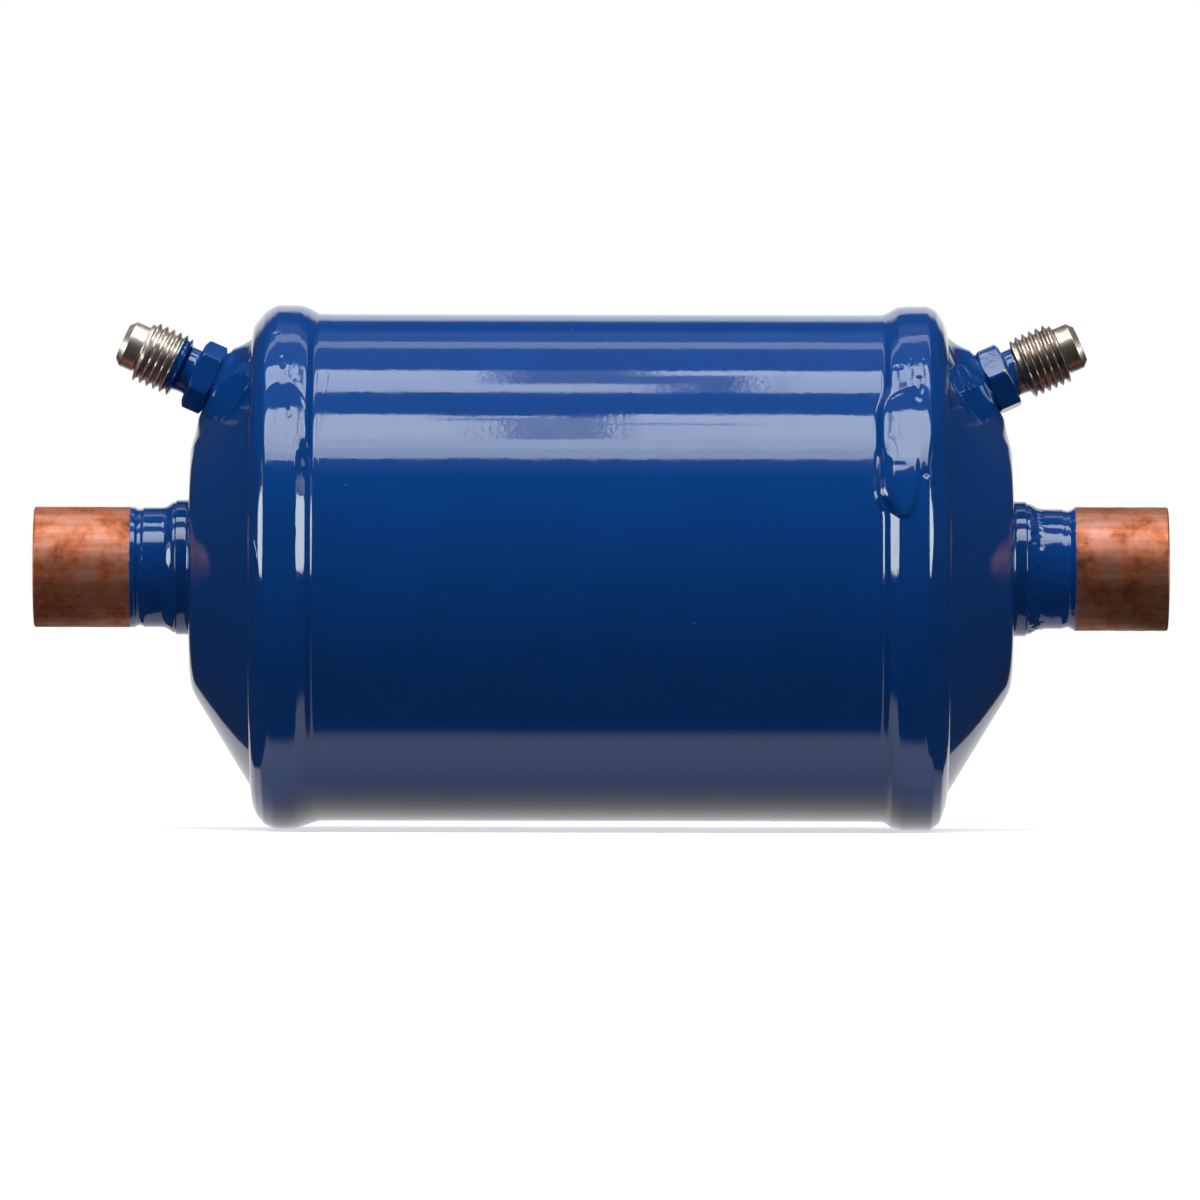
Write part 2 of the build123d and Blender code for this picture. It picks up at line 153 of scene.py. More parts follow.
# Soft boxes over the drier. Angles are degrees round its axis, 0 towards the camera and 90 up.
# Each row is one pane: low and high angle, left and right end in metres, radiance.
boxAway = 0.8
softBoxes = {
    "mainBox": [
        (49.1, 54.0, -0.550, 0.550, 4.4), (54.0, 58.9, -0.550, 0.550, 5.3), (58.9, 71.9, -0.550, -0.0365, 6.0),
        (58.9, 68.6, -0.0365, -0.022, 6.0), (70.0, 71.0, -0.0365, -0.010, 5.5), (68.6, 70.0, -0.0365, -0.022, 2.0),
        (58.9, 70.0, -0.022, 0.004, 2.1), (58.9, 66.5, 0.004, 0.034, 5.9), (67.0, 71.9, 0.004, 0.034, 6.0),
        (58.9, 71.9, 0.034, 0.550, 6.0),
    ],
    "topBox": [
        (84.7, 98.9, -0.420, -0.024, 4.5), (84.7, 90.0, -0.024, 0.014, 4.5), (90.0, 98.9, -0.024, 0.012, 0.55),
        (95.6, 98.9, 0.012, 0.034, 4.5), (84.7, 95.6, 0.014, 0.034, 0.55), (84.7, 98.9, 0.034, 0.420, 4.5),
    ],
    "rearBox": [(116.2, 122.2, -0.5, 0.5, 1.0)],
}
for name, panes in softBoxes.items():
    for low, high, left, right, radiance in panes:
        middle = math.radians((low + high) / 2)
        toLamp = Vector((0, -math.cos(middle), math.sin(middle)))
        wide, deep = right - left, 2 * boxAway * math.tan(math.radians((high - low) / 2))
        side = Vector((1, 0, 0))
        spot = toLamp * boxAway + side * (left + right) / 2
        hang(name, "RECTANGLE", wide, deep, radiance * wide * deep * 4, spot, toLamp, side)

# Oval strips at both sides, a little in front of the drier, a dimmer one above each; they light only
# what mirrors them. Each row is one strip: middle height, height, radiance.
stripSize = {"aside": 0.838, "front": -0.178, "wide": 0.40, "rows": ((0.145, 0.36, 9.0), (0.385, 0.08, 1.6))}
for out in (-1, 1):
    for level, tall, radiance in stripSize["rows"]:
        spot = Vector((out * stripSize["aside"], stripSize["front"], level))
        toLamp = Vector((spot[0], spot[1], 0)).normalized()
        side = Vector((0, 0, 1)).cross(toLamp)
        energy = radiance * math.pi * stripSize["wide"] * tall
        strip = hang("sideStrip", "ELLIPSE", stripSize["wide"], tall, energy, spot, toLamp, side)
        strip.visible_diffuse = False

# Floor: matt white paper. The camera sees it at full white less the shadow; mirrors see its lit part as painted
# light, a glow of emission on the paper.
floorSize = {"half": 4.0, "drop": 0.04606}
# Its lit sheet ends under the drier, and its sides run obliquely back under the two connections; outside it the paper
# is painted grey, painted shade.
paperLook = {
    "aside": (0.0645, 2.0645), "back": (0.0, 5.1), "front": (-0.039, -0.034), "under": (-0.040, 0.0),
    "shade": [(0.22, 0.92), (0.48, 0.42), (0.60, 0.46), (0.85, 0.85)], "near": (0.12, 0.36), "seen": (0.62, 1.0),
    "unlit": "#a4a4a4", "white": "#f2f2f2", "mirrored": 0.03,
}
floorMesh = bpy.data.meshes.new("floor")
half, level = floorSize["half"], -floorSize["drop"]
floorCorners = [(-half, -half, level), (half, -half, level), (half, half, level), (-half, half, level)]
floorMesh.from_pydata(floorCorners, [], [(0, 1, 2, 3)])
floor = bpy.data.objects.new("floor", floorMesh)
bpy.context.collection.objects.link(floor)
paper = bpy.data.materials.new("mattPaper")
paper.use_nodes = True
tree = paper.node_tree
tree.nodes.clear()
ray = add(tree, "ShaderNodeLightPath", out=None).outputs
ground = add(tree, "ShaderNodeNewGeometry")
spot = axes(tree, ground)
beside = ranged(tree, maths(tree, "ABSOLUTE", spot[0]), *paperLook["aside"], *paperLook["back"])
front = maths(tree, "SUBTRACT", spot[1], beside)
lit = ranged(tree, front, *paperLook["front"], soft=True)
mirrored = maths(tree, "MAXIMUM", ray["Is Glossy Ray"], ray["Is Transmission Ray"])
glow = maths(tree, "MULTIPLY", lit, mirrored)
# painted shade: the glow that mirrors see is darkened where the shell almost touches the sheet, as less light reaches
# it there
under = ranged(tree, spot[1], *paperLook["under"])
under = add(tree, "ShaderNodeValToRGB", {0: under}, stops=paperLook["shade"])
glow = maths(tree, "MULTIPLY", glow, under)
# far from the drier the camera sees plain white, close to it the shadow stays
far = add(tree, "ShaderNodeVectorMath", {0: ground}, out="Value", operation="LENGTH")
far = ranged(tree, far, *paperLook["near"], *paperLook["seen"], soft=True)
glow = maths(tree, "MULTIPLY_ADD", ray["Is Camera Ray"], far, glow)
seen = maths(tree, "MAXIMUM", ray["Is Camera Ray"], lit)
tone = mixed(tree, seen, paperLook["unlit"], paperLook["white"], "RGBA")
matt = add(tree, "ShaderNodeBsdfDiffuse", {"Color": tone})
dark = add(tree, "ShaderNodeEmission", {"Color": "#ffffff", "Strength": paperLook["mirrored"]})
face = add(tree, "ShaderNodeMixShader", {0: mirrored, 1: matt, 2: dark})
shine = add(tree, "ShaderNodeEmission", {"Color": "#ffffff", "Strength": glow})
add(tree, "ShaderNodeOutputMaterial", {0: add(tree, "ShaderNodeAddShader", {0: face, 1: shine})}, out=None)
floorMesh.materials.append(paper)

# Surroundings: a white sweep behind the drier, a dim room in front of it, a faint haze overhead.
# Masks are ranges of the direction's x, y and z.
studioLook = {
    "behind": (0.84, 0.91), "aside": (0.26, 0.36), "under": (0.42, 0.53), "sweep": 0.95, "room": 0.04,
    "ceiling": (0.66, 0.74), "haze": 0.18,
}
world = bpy.data.worlds.new("studio")
world.use_nodes = True
bpy.context.scene.world = world
tree = world.node_tree
tree.nodes.clear()
ray = add(tree, "ShaderNodeLightPath", out=None).outputs
way = axes(tree, add(tree, "ShaderNodeTexCoord", out="Generated"))
behind = ranged(tree, way[1], *studioLook["behind"], soft=True)
aside = ranged(tree, maths(tree, "ABSOLUTE", way[0]), *studioLook["aside"], 1.0, 0.0, soft=True)
under = ranged(tree, way[2], *studioLook["under"], 1.0, 0.0, soft=True)
sweep = maths(tree, "MULTIPLY", maths(tree, "MULTIPLY", behind, aside), under)
room = maths(tree, "MULTIPLY_ADD", sweep, studioLook["sweep"], studioLook["room"])
ceiling = ranged(tree, way[2], *studioLook["ceiling"], 0.0, studioLook["haze"], soft=True)
room = maths(tree, "ADD", room, ceiling)
level = maths(tree, "MAXIMUM", room, ray["Is Camera Ray"])
sky = add(tree, "ShaderNodeBackground", {"Color": "#ffffff", "Strength": level})
add(tree, "ShaderNodeOutputWorld", {0: sky}, out=None)
print("studio ready")


def finish(name, metal=0.0):
    # a material with one Principled shader, its tree, and the drier's own coordinates
    made = bpy.data.materials.new(name)
    made.use_nodes = True
    tree = made.node_tree
    shader = tree.nodes["Principled BSDF"]
    shader.inputs["Metallic"].default_value = metal
    place = add(tree, "ShaderNodeTexCoord", out="Object")
    return made, tree, shader, place


def feed(tree, shader, **sockets):
    # links or sets the shader's inputs, named in camelCase
    names = {"colour": "Base Color", "rough": "Roughness", "metal": "Metallic", "normal": "Normal"}
    for key, value in sockets.items():
        socket = shader.inputs[names[key]]
        if isinstance(value, bpy.types.NodeSocket):
            tree.links.new(value, socket)
        else:
            socket.default_value = linear(value) if isinstance(value, str) else value


# Epoxy powder enamel on steel, stoved: deep, wet gloss with a faint orange peel.
# Peel and swell are (width, depth).
enamelLook = {
    "deep": "#073978", "body": "#083f86", "tone": 14 * mm, "haze": 5 * mm, "rough": (0.040, 0.085),
    "peel": (1.1 * mm, 0.006 * mm), "swell": (11 * mm, 0.03 * mm),
}


def enamelParts(tree, place):
    tone = noise(tree, place, enamelLook["tone"], 3.0)
    colour = mixed(tree, tone, enamelLook["deep"], enamelLook["body"], "RGBA")
    haze = noise(tree, place, enamelLook["haze"], 4.0)
    rough = ranged(tree, haze, 0.3, 0.7, *enamelLook["rough"])
    peel = noise(tree, place, enamelLook["peel"][0], 2.0)
    swell = noise(tree, place, enamelLook["swell"][0], 1.0)
    normal = bumped(tree, peel, enamelLook["peel"][1])
    normal = bumped(tree, swell, enamelLook["swell"][1], Normal=normal)
    return colour, rough, normal


def overBare(tree, place, painted, colour, rough, normal, step):
    # enamel over bare metal where painted is 1, with a step at its edge; gives the bare share too
    enamel, enamelRough, enamelNormal = enamelParts(tree, place)
    colour = mixed(tree, painted, colour, enamel, "RGBA")
    rough = mixed(tree, painted, rough, enamelRough)
    normal = mixed(tree, painted, normal, enamelNormal, "VECTOR")
    normal = bumped(tree, painted, step, 0.6, Normal=normal)
    return colour, rough, normal, maths(tree, "SUBTRACT", 1.0, painted)


blueEnamel, tree, shader, place = finish("blueEnamel")
colour, rough, normal = enamelParts(tree, place)
feed(tree, shader, colour=colour, rough=rough, normal=normal)

# The same enamel over the welds: hair-thin runs down the bead show in its gloss.
runLook = {
    "radius": 46 * mm, "bend": 5 * mm, "sway": 1.6 * mm, "wide": 0.9 * mm, "long": 11 * mm,
    "cut": (0.60, 0.72), "deep": 0.012 * mm,
}
runEnamel, tree, shader, place = finish("enamelOverWeld")
colour, rough, normal = enamelParts(tree, place)
split = axes(tree, place)
turn = maths(tree, "ARCTAN2", split[2], maths(tree, "MULTIPLY", split[1], -1.0))
turn = maths(tree, "MULTIPLY", turn, runLook["radius"])
bent = noise(tree, place, runLook["bend"], 2.0)
aside = maths(tree, "MULTIPLY_ADD", bent, runLook["sway"], split[0])
laid = joined(tree, aside, turn)
laid = scaled(tree, laid, (1 / runLook["wide"], 1 / runLook["long"], 1.0))
runs = ranged(tree, noise(tree, laid, 1.0, 2.0), *runLook["cut"], soft=True)
normal = bumped(tree, runs, runLook["deep"], Normal=normal)
feed(tree, shader, colour=colour, rough=rough, normal=normal)

# Phosphorus-deoxidised copper tube, drawn and annealed: soft gloss, drawn lines, brown and rosy tarnish.
# The enamel ends in a ragged edge where the spray was masked.
copperLook = {
    "tarnish": [(0.30, "#744631"), (0.43, "#b8643f"), (0.56, "#c07a60"), (0.70, "#bb8676")], "blot": 4.5 * mm,
    "lines": (1 / (0.16 * mm), 55.0, 55.0), "streaks": (60.0, 900.0, 900.0), "lineDeep": 0.012 * mm,
    "blotDeep": 0.06 * mm, "fray": 2.4 * 0.35 * mm, "frayGrain": 0.4 * mm, "soft": 0.08 * mm, "step": 0.08 * mm,
    "dulled": 0.76,
    # Depth darkens a whole tube; the outlet's 0.84 is painted shade, darker copper standing in for less light on that
    # end.
    "inlet": {"edge": 82.5 * mm, "depth": 1.0, "rough": 0.60},
    "outlet": {"edge": 83.1 * mm, "depth": 0.84, "rough": 0.52},
}


def socketCopper(end):
    made, tree, shader, place = finish("enamelledCopper_" + end)
    look = copperLook[end]
    blot = noise(tree, place, copperLook["blot"], 6.0, Roughness=0.65)
    colour = add(tree, "ShaderNodeValToRGB", {0: blot}, stops=copperLook["tarnish"])
    drawn = scaled(tree, place, copperLook["lines"])
    lines = noise(tree, drawn, 1.0, 3.0)
    stretched = scaled(tree, place, copperLook["streaks"])
    streaks = noise(tree, stretched, 1.0, 4.0)
    # random drawn streaks, scaled per end by depth, which darkens the outlet's tube as painted shade
    shade = ranged(tree, streaks, 0.3, 0.7, 0.72 * look["depth"], 1.12 * look["depth"])
    colour = mixed(tree, 1.0, colour, shade, "RGBA", blend_type="MULTIPLY")
    rough = ranged(tree, blot, 0.3, 0.7, look["rough"] + 0.08, look["rough"] - 0.06)
    normal = bumped(tree, lines, copperLook["lineDeep"], 0.5)
    normal = bumped(tree, blot, copperLook["blotDeep"], 0.5, Normal=normal)
    # how far this point is past the enamel's edge, frayed by a noise
    along = maths(tree, "ABSOLUTE", axes(tree, place)[0])
    drift = maths(tree, "ADD", noise(tree, place, copperLook["frayGrain"], 3.0), -0.5)
    past = maths(tree, "MULTIPLY_ADD", drift, copperLook["fray"], along)
    painted = ranged(tree, past, look["edge"] - copperLook["soft"], look["edge"] + copperLook["soft"], 1.0, 0.0)
    colour, rough, normal, bare = overBare(tree, place, painted, colour, rough, normal, copperLook["step"])
    # tarnish dulls the metal a little
    metal = maths(tree, "MULTIPLY", bare, copperLook["dulled"])
    feed(tree, shader, colour=colour, rough=rough, metal=metal, normal=normal)
    return made


# Free-cutting steel, turned and nickel plated: fine turning rings, warm grey.
# The chip is a spot in the valve's own frame where the hex has lost its enamel.
steelLook = {
    "rings": (1 / (0.11 * mm), 90.0, 90.0), "ringDeep": 0.002 * mm, "blot": 2.2 * mm, "rough": (0.44, 0.30),
    "fray": 0.9 * mm, "frayGrain": 1.1 * mm, "soft": (0.37 * mm, 0.53 * mm), "tintEnd": (0.3 * mm, 1.7 * mm),
    "tintMost": 0.6, "chipFray": 0.8 * mm, "chipEdge": (0.82 * mm, 0.92 * mm), "step": 0.06 * mm,
    # Each end's light and dark tones are the plating's own blotches, but the inlet's pair is painted lighter and the
    # outlet's darker: painted light and painted shade for how the lamps fall on each valve.
    "inlet": {"light": "#e6d8ce", "dark": "#a3968d", "tint": "#5f8a8c", "chip": None},
    "outlet": {"light": "#d0c0b4", "dark": "#7f7268", "tint": "#8f9062", "chip": (3.7 * mm, -6.2 * mm, 0.66 * mm)},
}


def valveSteel(end, edge, slant):
    made, tree, shader, place = finish("enamelledNickelSteel_" + end)
    look = steelLook[end]
    own = add(tree, "ShaderNodeAttribute", out="Vector", attribute_name="own")
    split = axes(tree, own)
    rings = scaled(tree, own, steelLook["rings"])
    blot = noise(tree, own, steelLook["blot"], 5.0)
    # blotchy plating tones; each end's pair is painted lighter or darker as painted light and painted shade
    colour = mixed(tree, ranged(tree, blot, 0.3, 0.65), look["dark"], look["light"], "RGBA")
    rough = ranged(tree, blot, 0.3, 0.7, *steelLook["rough"])
    normal = bumped(tree, noise(tree, rings, 1.0, 3.0), steelLook["ringDeep"], 0.5)
    # enamel over the hex and neck, ending in a ragged line that may slant round the valve
    ragged = noise(tree, own, steelLook["frayGrain"], 3.0)
    past = maths(tree, "MULTIPLY_ADD", ragged, steelLook["fray"], split[0])
    past = maths(tree, "MULTIPLY_ADD", split[2], -slant, past)
    painted = ranged(tree, past, *(edge + soft for soft in steelLook["soft"]), 1.0, 0.0)
    if look["chip"]:
        gone = add(tree, "ShaderNodeVectorMath", {0: own, 1: look["chip"]}, out="Value", operation="DISTANCE")
        gone = maths(tree, "MULTIPLY_ADD", ragged, steelLook["chipFray"], gone)
        painted = maths(tree, "MINIMUM", painted, ranged(tree, gone, *steelLook["chipEdge"]))
    tint = ranged(tree, past, *(edge + soft for soft in steelLook["tintEnd"]), steelLook["tintMost"], 0.0)
    colour = mixed(tree, tint, colour, look["tint"], "RGBA")
    colour, rough, normal, bare = overBare(tree, place, painted, colour, rough, normal, steelLook["step"])
    feed(tree, shader, colour=colour, rough=rough, metal=bare, normal=normal)
    return made


def plainFinish(name, light, dark, grain, rough, metal=0.0, bump=0.01, stretch=(1, 1, 1)):
    # two tones of one real material, broken up at its own grain size in millimetres
    made, tree, shader, place = finish(name, metal)
    spread = scaled(tree, place, stretch)
    grains = noise(tree, spread, grain * mm, 4.0)
    blend = ranged(tree, grains, 0.35, 0.65)
    colour = mixed(tree, blend, dark, light, "RGBA")
    sheen = ranged(tree, grains, 0.3, 0.7, rough + 0.06, rough - 0.04)
    normal = bumped(tree, grains, bump * mm, 0.6)
    feed(tree, shader, colour=colour, rough=sheen, normal=normal)
    return made


finishes = {
    # free-machining brass: warm, turned, slightly dulled
    "brass": plainFinish("turnedBrass", "#c9a35a", "#94703a", 0.5, 0.28, 1.0, 0.01),
    # sintered PTFE: waxy white, soft sheen
    "ptfe": plainFinish("sinteredPtfe", "#e9e7e0", "#d9d6cc", 0.4, 0.42),
    # nitrile rubber: matt black with a fine mould grain
    "rubber": plainFinish("nitrileRubber", "#222222", "#161616", 0.3, 0.62, bump=0.02),
    # stainless music wire: bright, drawn along its length
    "spring_steel": plainFinish("springWire", "#a9a8a4", "#7d7c78", 0.6, 0.27, 1.0, 0.01),
    # cold-rolled steel, oiled: grey with rolling streaks
    "inner_steel": plainFinish("rolledSteel", "#8f9091", "#6f7072", 1.5, 0.38, 1.0, 0.01, (1, 0.2, 1)),
    # bound zeolite and alumina: chalky, gritty, off-white
    "desiccant": plainFinish("bondedDesiccant", "#d8cfbd", "#bfb39c", 0.7, 0.88, bump=0.15),
    # needled polyester felt: matt white fibres
    "felt": plainFinish("needledFelt", "#e4e1d8", "#cbc6b9", 0.25, 0.95, bump=0.12),
    # woven stainless gauze
    "gauze": plainFinish("wovenGauze", "#9a9a96", "#5b5b58", 0.35, 0.36, 1.0, 0.08),
}
print("finishes ready")


def newTree(name, wanted):
    tree = bpy.data.node_groups.new(name, "GeometryNodeTree")
    tree.interface.new_socket("Geometry", in_out="OUTPUT", socket_type="NodeSocketGeometry")
    tree.interface.new_socket("Geometry", in_out="INPUT", socket_type="NodeSocketGeometry")
    for label, kind, value in wanted:
        socket = tree.interface.new_socket(label, in_out="INPUT", socket_type="NodeSocket" + kind)
        if value is not None:
            socket.default_value = value
    given = add(tree, "NodeGroupInput", out=None).outputs
    return tree, given


def aroundAxis(tree, angle, radius):
    # the sine and cosine of an angle, times a radius
    return [maths(tree, "MULTIPLY", maths(tree, kind, angle), radius) for kind in ("SINE", "COSINE")]


def closeTree(tree, mesh, given):
    for kind in ("GeometryNodeRealizeInstances", "GeometryNodeSetShadeSmooth"):
        mesh = add(tree, kind, {0: mesh})
    mesh = add(tree, "GeometryNodeSetMaterial", {0: mesh, 2: given["Material"]})
    add(tree, "NodeGroupOutput", {0: mesh}, out=None)


def shapedBy(tree, start, values, name):
    # runs a tree on a start mesh with its inputs set, and keeps the result as a plain mesh
    piece = bpy.data.objects.new(name, start)
    bpy.context.collection.objects.link(piece)
    modifier = piece.modifiers.new("shape", "NODES")
    modifier.node_group = tree
    for item in tree.interface.items_tree:
        if item.item_type == "SOCKET" and item.in_out == "INPUT" and item.name in values:
            modifier[item.identifier] = values[item.name]
    graph = bpy.context.evaluated_depsgraph_get()
    graph.update()
    result = bpy.data.meshes.new_from_object(piece.evaluated_get(graph), depsgraph=graph)
    piece.modifiers.clear()
    piece.data = result
    result.name = name
    return piece


# The rule that shapes what is turned or rolled: a half outline in x and z, swept round x. Its marks
# say where the waves (0), the thread (1) and the hexagon (2) act.
turnedTree, given = newTree("turnedRule", [
    ("Segments", "Int", 128), ("Crowding", "Float", 1.0), ("Wave Height", "Float", 0.0),
    ("Wave Length", "Float", 0.01), ("Wave Seed", "Float", 0.0), ("Thread Pitch", "Float", 0.00127),
    ("Thread Depth", "Float", 0.0), ("Across Flats", "Float", 0.01), ("Hex Turn", "Float", 0.0),
    ("Hex Edge", "Float", 0.0004), ("Material", "Material", None),
])
tree = turnedTree
count = add(tree, "GeometryNodeAttributeDomainSize", {0: given["Geometry"]}, component="MESH")
columns = maths(tree, "ADD", given["Segments"], 1.0)
grid = add(tree, "GeometryNodeMeshGrid", {0: 1.0, 1: 1.0, 2: count, 3: columns})
at = axes(tree, add(tree, "GeometryNodeInputPosition"))
share = maths(tree, "ADD", at[0], 0.5)
last = maths(tree, "SUBTRACT", count, 1.0)
ring = maths(tree, "MULTIPLY", share, last)
ring = maths(tree, "ROUND", ring)
here = add(tree, "GeometryNodeInputPosition")
marks = add(tree, "GeometryNodeInputNamedAttribute", {0: "marks"}, data_type="FLOAT_VECTOR")
sampled = [{0: given["Geometry"], 1: value, 2: ring} for value in (here, marks)]
here, marks = [
    axes(tree, add(tree, "GeometryNodeSampleIndex", links, data_type="FLOAT_VECTOR")) for links in sampled
]
# angle from the top, spread evenly or crowded round the top
turn = maths(tree, "MULTIPLY", at[1], 2.0)
cube = maths(tree, "POWER", turn, 3.0)
spare = maths(tree, "SUBTRACT", 1.0, given["Crowding"])
bent = maths(tree, "MULTIPLY", turn, given["Crowding"])
bent = maths(tree, "MULTIPLY_ADD", cube, spare, bent)
angle = maths(tree, "MULTIPLY", bent, math.pi)
# thread groove: one turn per pitch, flat crests and roots
climb = maths(tree, "DIVIDE", here[0], given["Thread Pitch"])
phase = maths(tree, "MULTIPLY_ADD", angle, 1 / (2 * math.pi), climb)
phase = maths(tree, "FRACT", phase)
ridge = maths(tree, "PINGPONG", phase, 0.5)
groove = ranged(tree, ridge, 0.07, 0.39)
groove = maths(tree, "MULTIPLY", groove, given["Thread Depth"])
groove = maths(tree, "MULTIPLY", groove, marks[1])
radius = maths(tree, "SUBTRACT", here[2], groove)
# flats of a hexagon, with eased corners
fromFlat = maths(tree, "SUBTRACT", angle, given["Hex Turn"])
fromFlat = maths(tree, "WRAP", fromFlat, math.pi / 6, -math.pi / 6)
apothem = maths(tree, "MULTIPLY", given["Across Flats"], 0.5)
flat = maths(tree, "DIVIDE", apothem, maths(tree, "COSINE", fromFlat))
trimmed = maths(tree, "SMOOTH_MIN", radius, flat, given["Hex Edge"])
radius = mixed(tree, marks[2], radius, trimmed)
# slow unevenness of what is welded or hand brazed
east, north = aroundAxis(tree, angle, radius)
even = joined(tree, here[0], east, north)
fine = maths(tree, "DIVIDE", 1.0, given["Wave Length"])
swell = {"Vector": even, "W": given["Wave Seed"], "Scale": fine, "Detail": 2.0}
swell = add(tree, "ShaderNodeTexNoise", swell, noise_dimensions="4D")
swell = maths(tree, "MULTIPLY", maths(tree, "ADD", swell, -0.5), given["Wave Height"])
radius = maths(tree, "MULTIPLY_ADD", swell, marks[0], radius)
east, north = aroundAxis(tree, angle, radius)
west = maths(tree, "MULTIPLY", east, -1.0)
placed = joined(tree, here[0], west, north)
named = {"data_type": "FLOAT_VECTOR", "domain": "POINT"}
skin = add(tree, "GeometryNodeStoreNamedAttribute", {0: grid, 2: "own", 3: placed}, **named)
own = add(tree, "GeometryNodeInputNamedAttribute", {0: "own"}, data_type="FLOAT_VECTOR")
skin = add(tree, "GeometryNodeSetPosition", {0: skin, 2: own})
skin = add(tree, "GeometryNodeMergeByDistance", {0: skin, 2: 2e-6})
closeTree(tree, skin, given)
print("turning rule ready")


def outline(corners, step, closed=True, bend=7):
    # corners are (x, r, rounding) in mm; straight runs are cut to step, roundings to about bend degrees
    run = []
    number = len(corners)
    for i, (x, r, rounding) in enumerate(corners):
        spot = np.array((x, r), float)
        if rounding and (closed or 0 < i < number - 1):
            back = np.array(corners[i - 1][:2]) - spot
            ahead = np.array(corners[(i + 1) % number][:2]) - spot
            back, ahead = back / np.linalg.norm(back), ahead / np.linalg.norm(ahead)
            half = math.acos(np.clip(back @ ahead, -1, 1)) / 2
            reach = rounding / math.tan(half)
            middle = spot + (back + ahead) / np.linalg.norm(back + ahead) * rounding / math.sin(half)
            first, final = spot + back * reach - middle, spot + ahead * reach - middle
            sweep = math.atan2(first[0] * final[1] - first[1] * final[0], first @ final)
            pieces = max(3, round(abs(sweep) / math.radians(bend)))
            for k in range(pieces + 1):
                c, s = math.cos(sweep * k / pieces), math.sin(sweep * k / pieces)
                run.append(middle + (first[0] * c - first[1] * s, first[0] * s + first[1] * c))
        else:
            run.append(spot)
    if closed:
        run.append(run[0])
    points = [run[0]]
    for spot in run[1:]:
        far = np.linalg.norm(spot - points[-1])
        if far < 1e-6:
            continue
        start = points[-1]
        for k in range(1, max(1, math.ceil(far / step)) + 1):
            points.append(start + (spot - start) * k / max(1, math.ceil(far / step)))
    return np.array(points)


def smoothFaces(piece, sharp=38):
    # merges doubles, turns faces outwards and keeps real edges crisp
    work = bmesh.new()
    work.from_mesh(piece.data)
    bmesh.ops.remove_doubles(work, verts=work.verts, dist=1e-6)
    bmesh.ops.dissolve_degenerate(work, edges=work.edges, dist=1e-7)
    bmesh.ops.recalc_face_normals(work, faces=work.faces)
    for edge in work.edges:
        edge.smooth = len(edge.link_faces) != 2 or edge.calc_face_angle(0) < math.radians(sharp)
    for flat in work.faces:
        flat.smooth = True
    work.to_mesh(piece.data)
    work.free()


def turned(name, points, material, marks=None, matrix=None, after=None, **inputs):
    # one closed piece from its half outline in mm, by the turning rule
    start = bpy.data.meshes.new(name + "Outline")
    start.from_pydata([(x * mm, 0, r * mm) for x, r in points], [(i, i + 1) for i in range(len(points) - 1)], [])
    layer = start.attributes.new("marks", "FLOAT_VECTOR", "POINT")
    if marks is not None:
        layer.data.foreach_set("vector", np.asarray(marks, np.float32).ravel())
    values = {"Material": material}
    values.update({label.replace("_", " "): value for label, value in inputs.items()})
    piece = shapedBy(turnedTree, start, values, name)
    if after:
        spots = np.empty(len(piece.data.vertices) * 3)
        piece.data.vertices.foreach_get("co", spots)
        piece.data.vertices.foreach_set("co", after(spots.reshape(-1, 3) / mm).ravel() * mm)
    if matrix is not None:
        piece.data.transform(matrix)
    smoothFaces(piece)
    return piece


def settle(piece, body, slot, *nodes):
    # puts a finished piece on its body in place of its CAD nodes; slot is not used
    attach(piece, body)
    if nodes:
        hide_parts(*nodes)


# Each end with the way its x runs.
ends = (("inlet", -1), ("outlet", 1))


def mirrorOut(out):
    return Matrix.Scale(out, 4, (1, 0, 0))


# Rolled shell, 2 mm steel, its ends hidden under the welds.
shellSize = {"radius": 44.45, "bore": 42.45, "half": 56.5, "segments": 256, "step": 2.0}
half, across = shellSize["half"], (shellSize["radius"], shellSize["bore"])
corners = [(-half, across[0], 0), (half, across[0], 0), (half, across[1], 0), (-half, across[1], 0)]
piece = turned("rolledShell", outline(corners, shellSize["step"]), blueEnamel, Segments=shellSize["segments"])
settle(piece, "drier", "enamel", "shell")
print("shell done")

# Pressed caps: cone of 58.6 degrees, rounded shoulder and crown, collar, and a boss under the valve.
capSize = {
    "skirt": 42.4, "skirtEnd": 50.0, "shoulder": 59.0, "crown": 72.0, "angle": 58.6, "wall": 2.2,
    "shoulderRound": 5.0, "crownRound": 8.0, "collar": 11.8, "mouth": 74.6, "joint": 10.55, "segments": 320,
}
# The seat lies 2.37 mm up the valve's axis from the cone. The blend is (radius, width) on the cap, the
# rise takes the skin up to the boss, and rows stay close only on the cone and the collar.
bossSize = {
    "tilt": 23.7, "inboard": 6.37, "seat": 2.37, "top": -0.5, "radius": 6.6, "rim": 0.6, "foot": 11.9, "deep": 3.7,
    "sag": 0.35, "flankRows": 90, "firstRow": 9, "blend": ((25.0, 4.8), (31.0, 2.4), (36.0, 1.4)),
}
rise = {"skin": 0.02, "reach": 18, "floor": 12, "start": 9.0, "stride": 0.9, "rounds": 20}
closeRows = {"coneX": 57.5, "coneRadius": 20.5, "collarX": 71.8, "collarRadius": 13.2, "every": 5}
skirt, skirtEnd, shoulder, crown, mouth, wall = (
    capSize[key] for key in ("skirt", "skirtEnd", "shoulder", "crown", "mouth", "wall")
)
tilt = math.radians(bossSize["tilt"])
slope = math.tan(math.radians(capSize["angle"]))
crownCorner = skirt - (crown - shoulder) * slope
axisX = crown - bossSize["inboard"]
axisZ = skirt - (axisX - shoulder) * slope
valveWay = np.array((math.cos(tilt), 0, math.sin(tilt)))
seat = np.array((axisX, 0, axisZ)) + bossSize["seat"] * valveWay


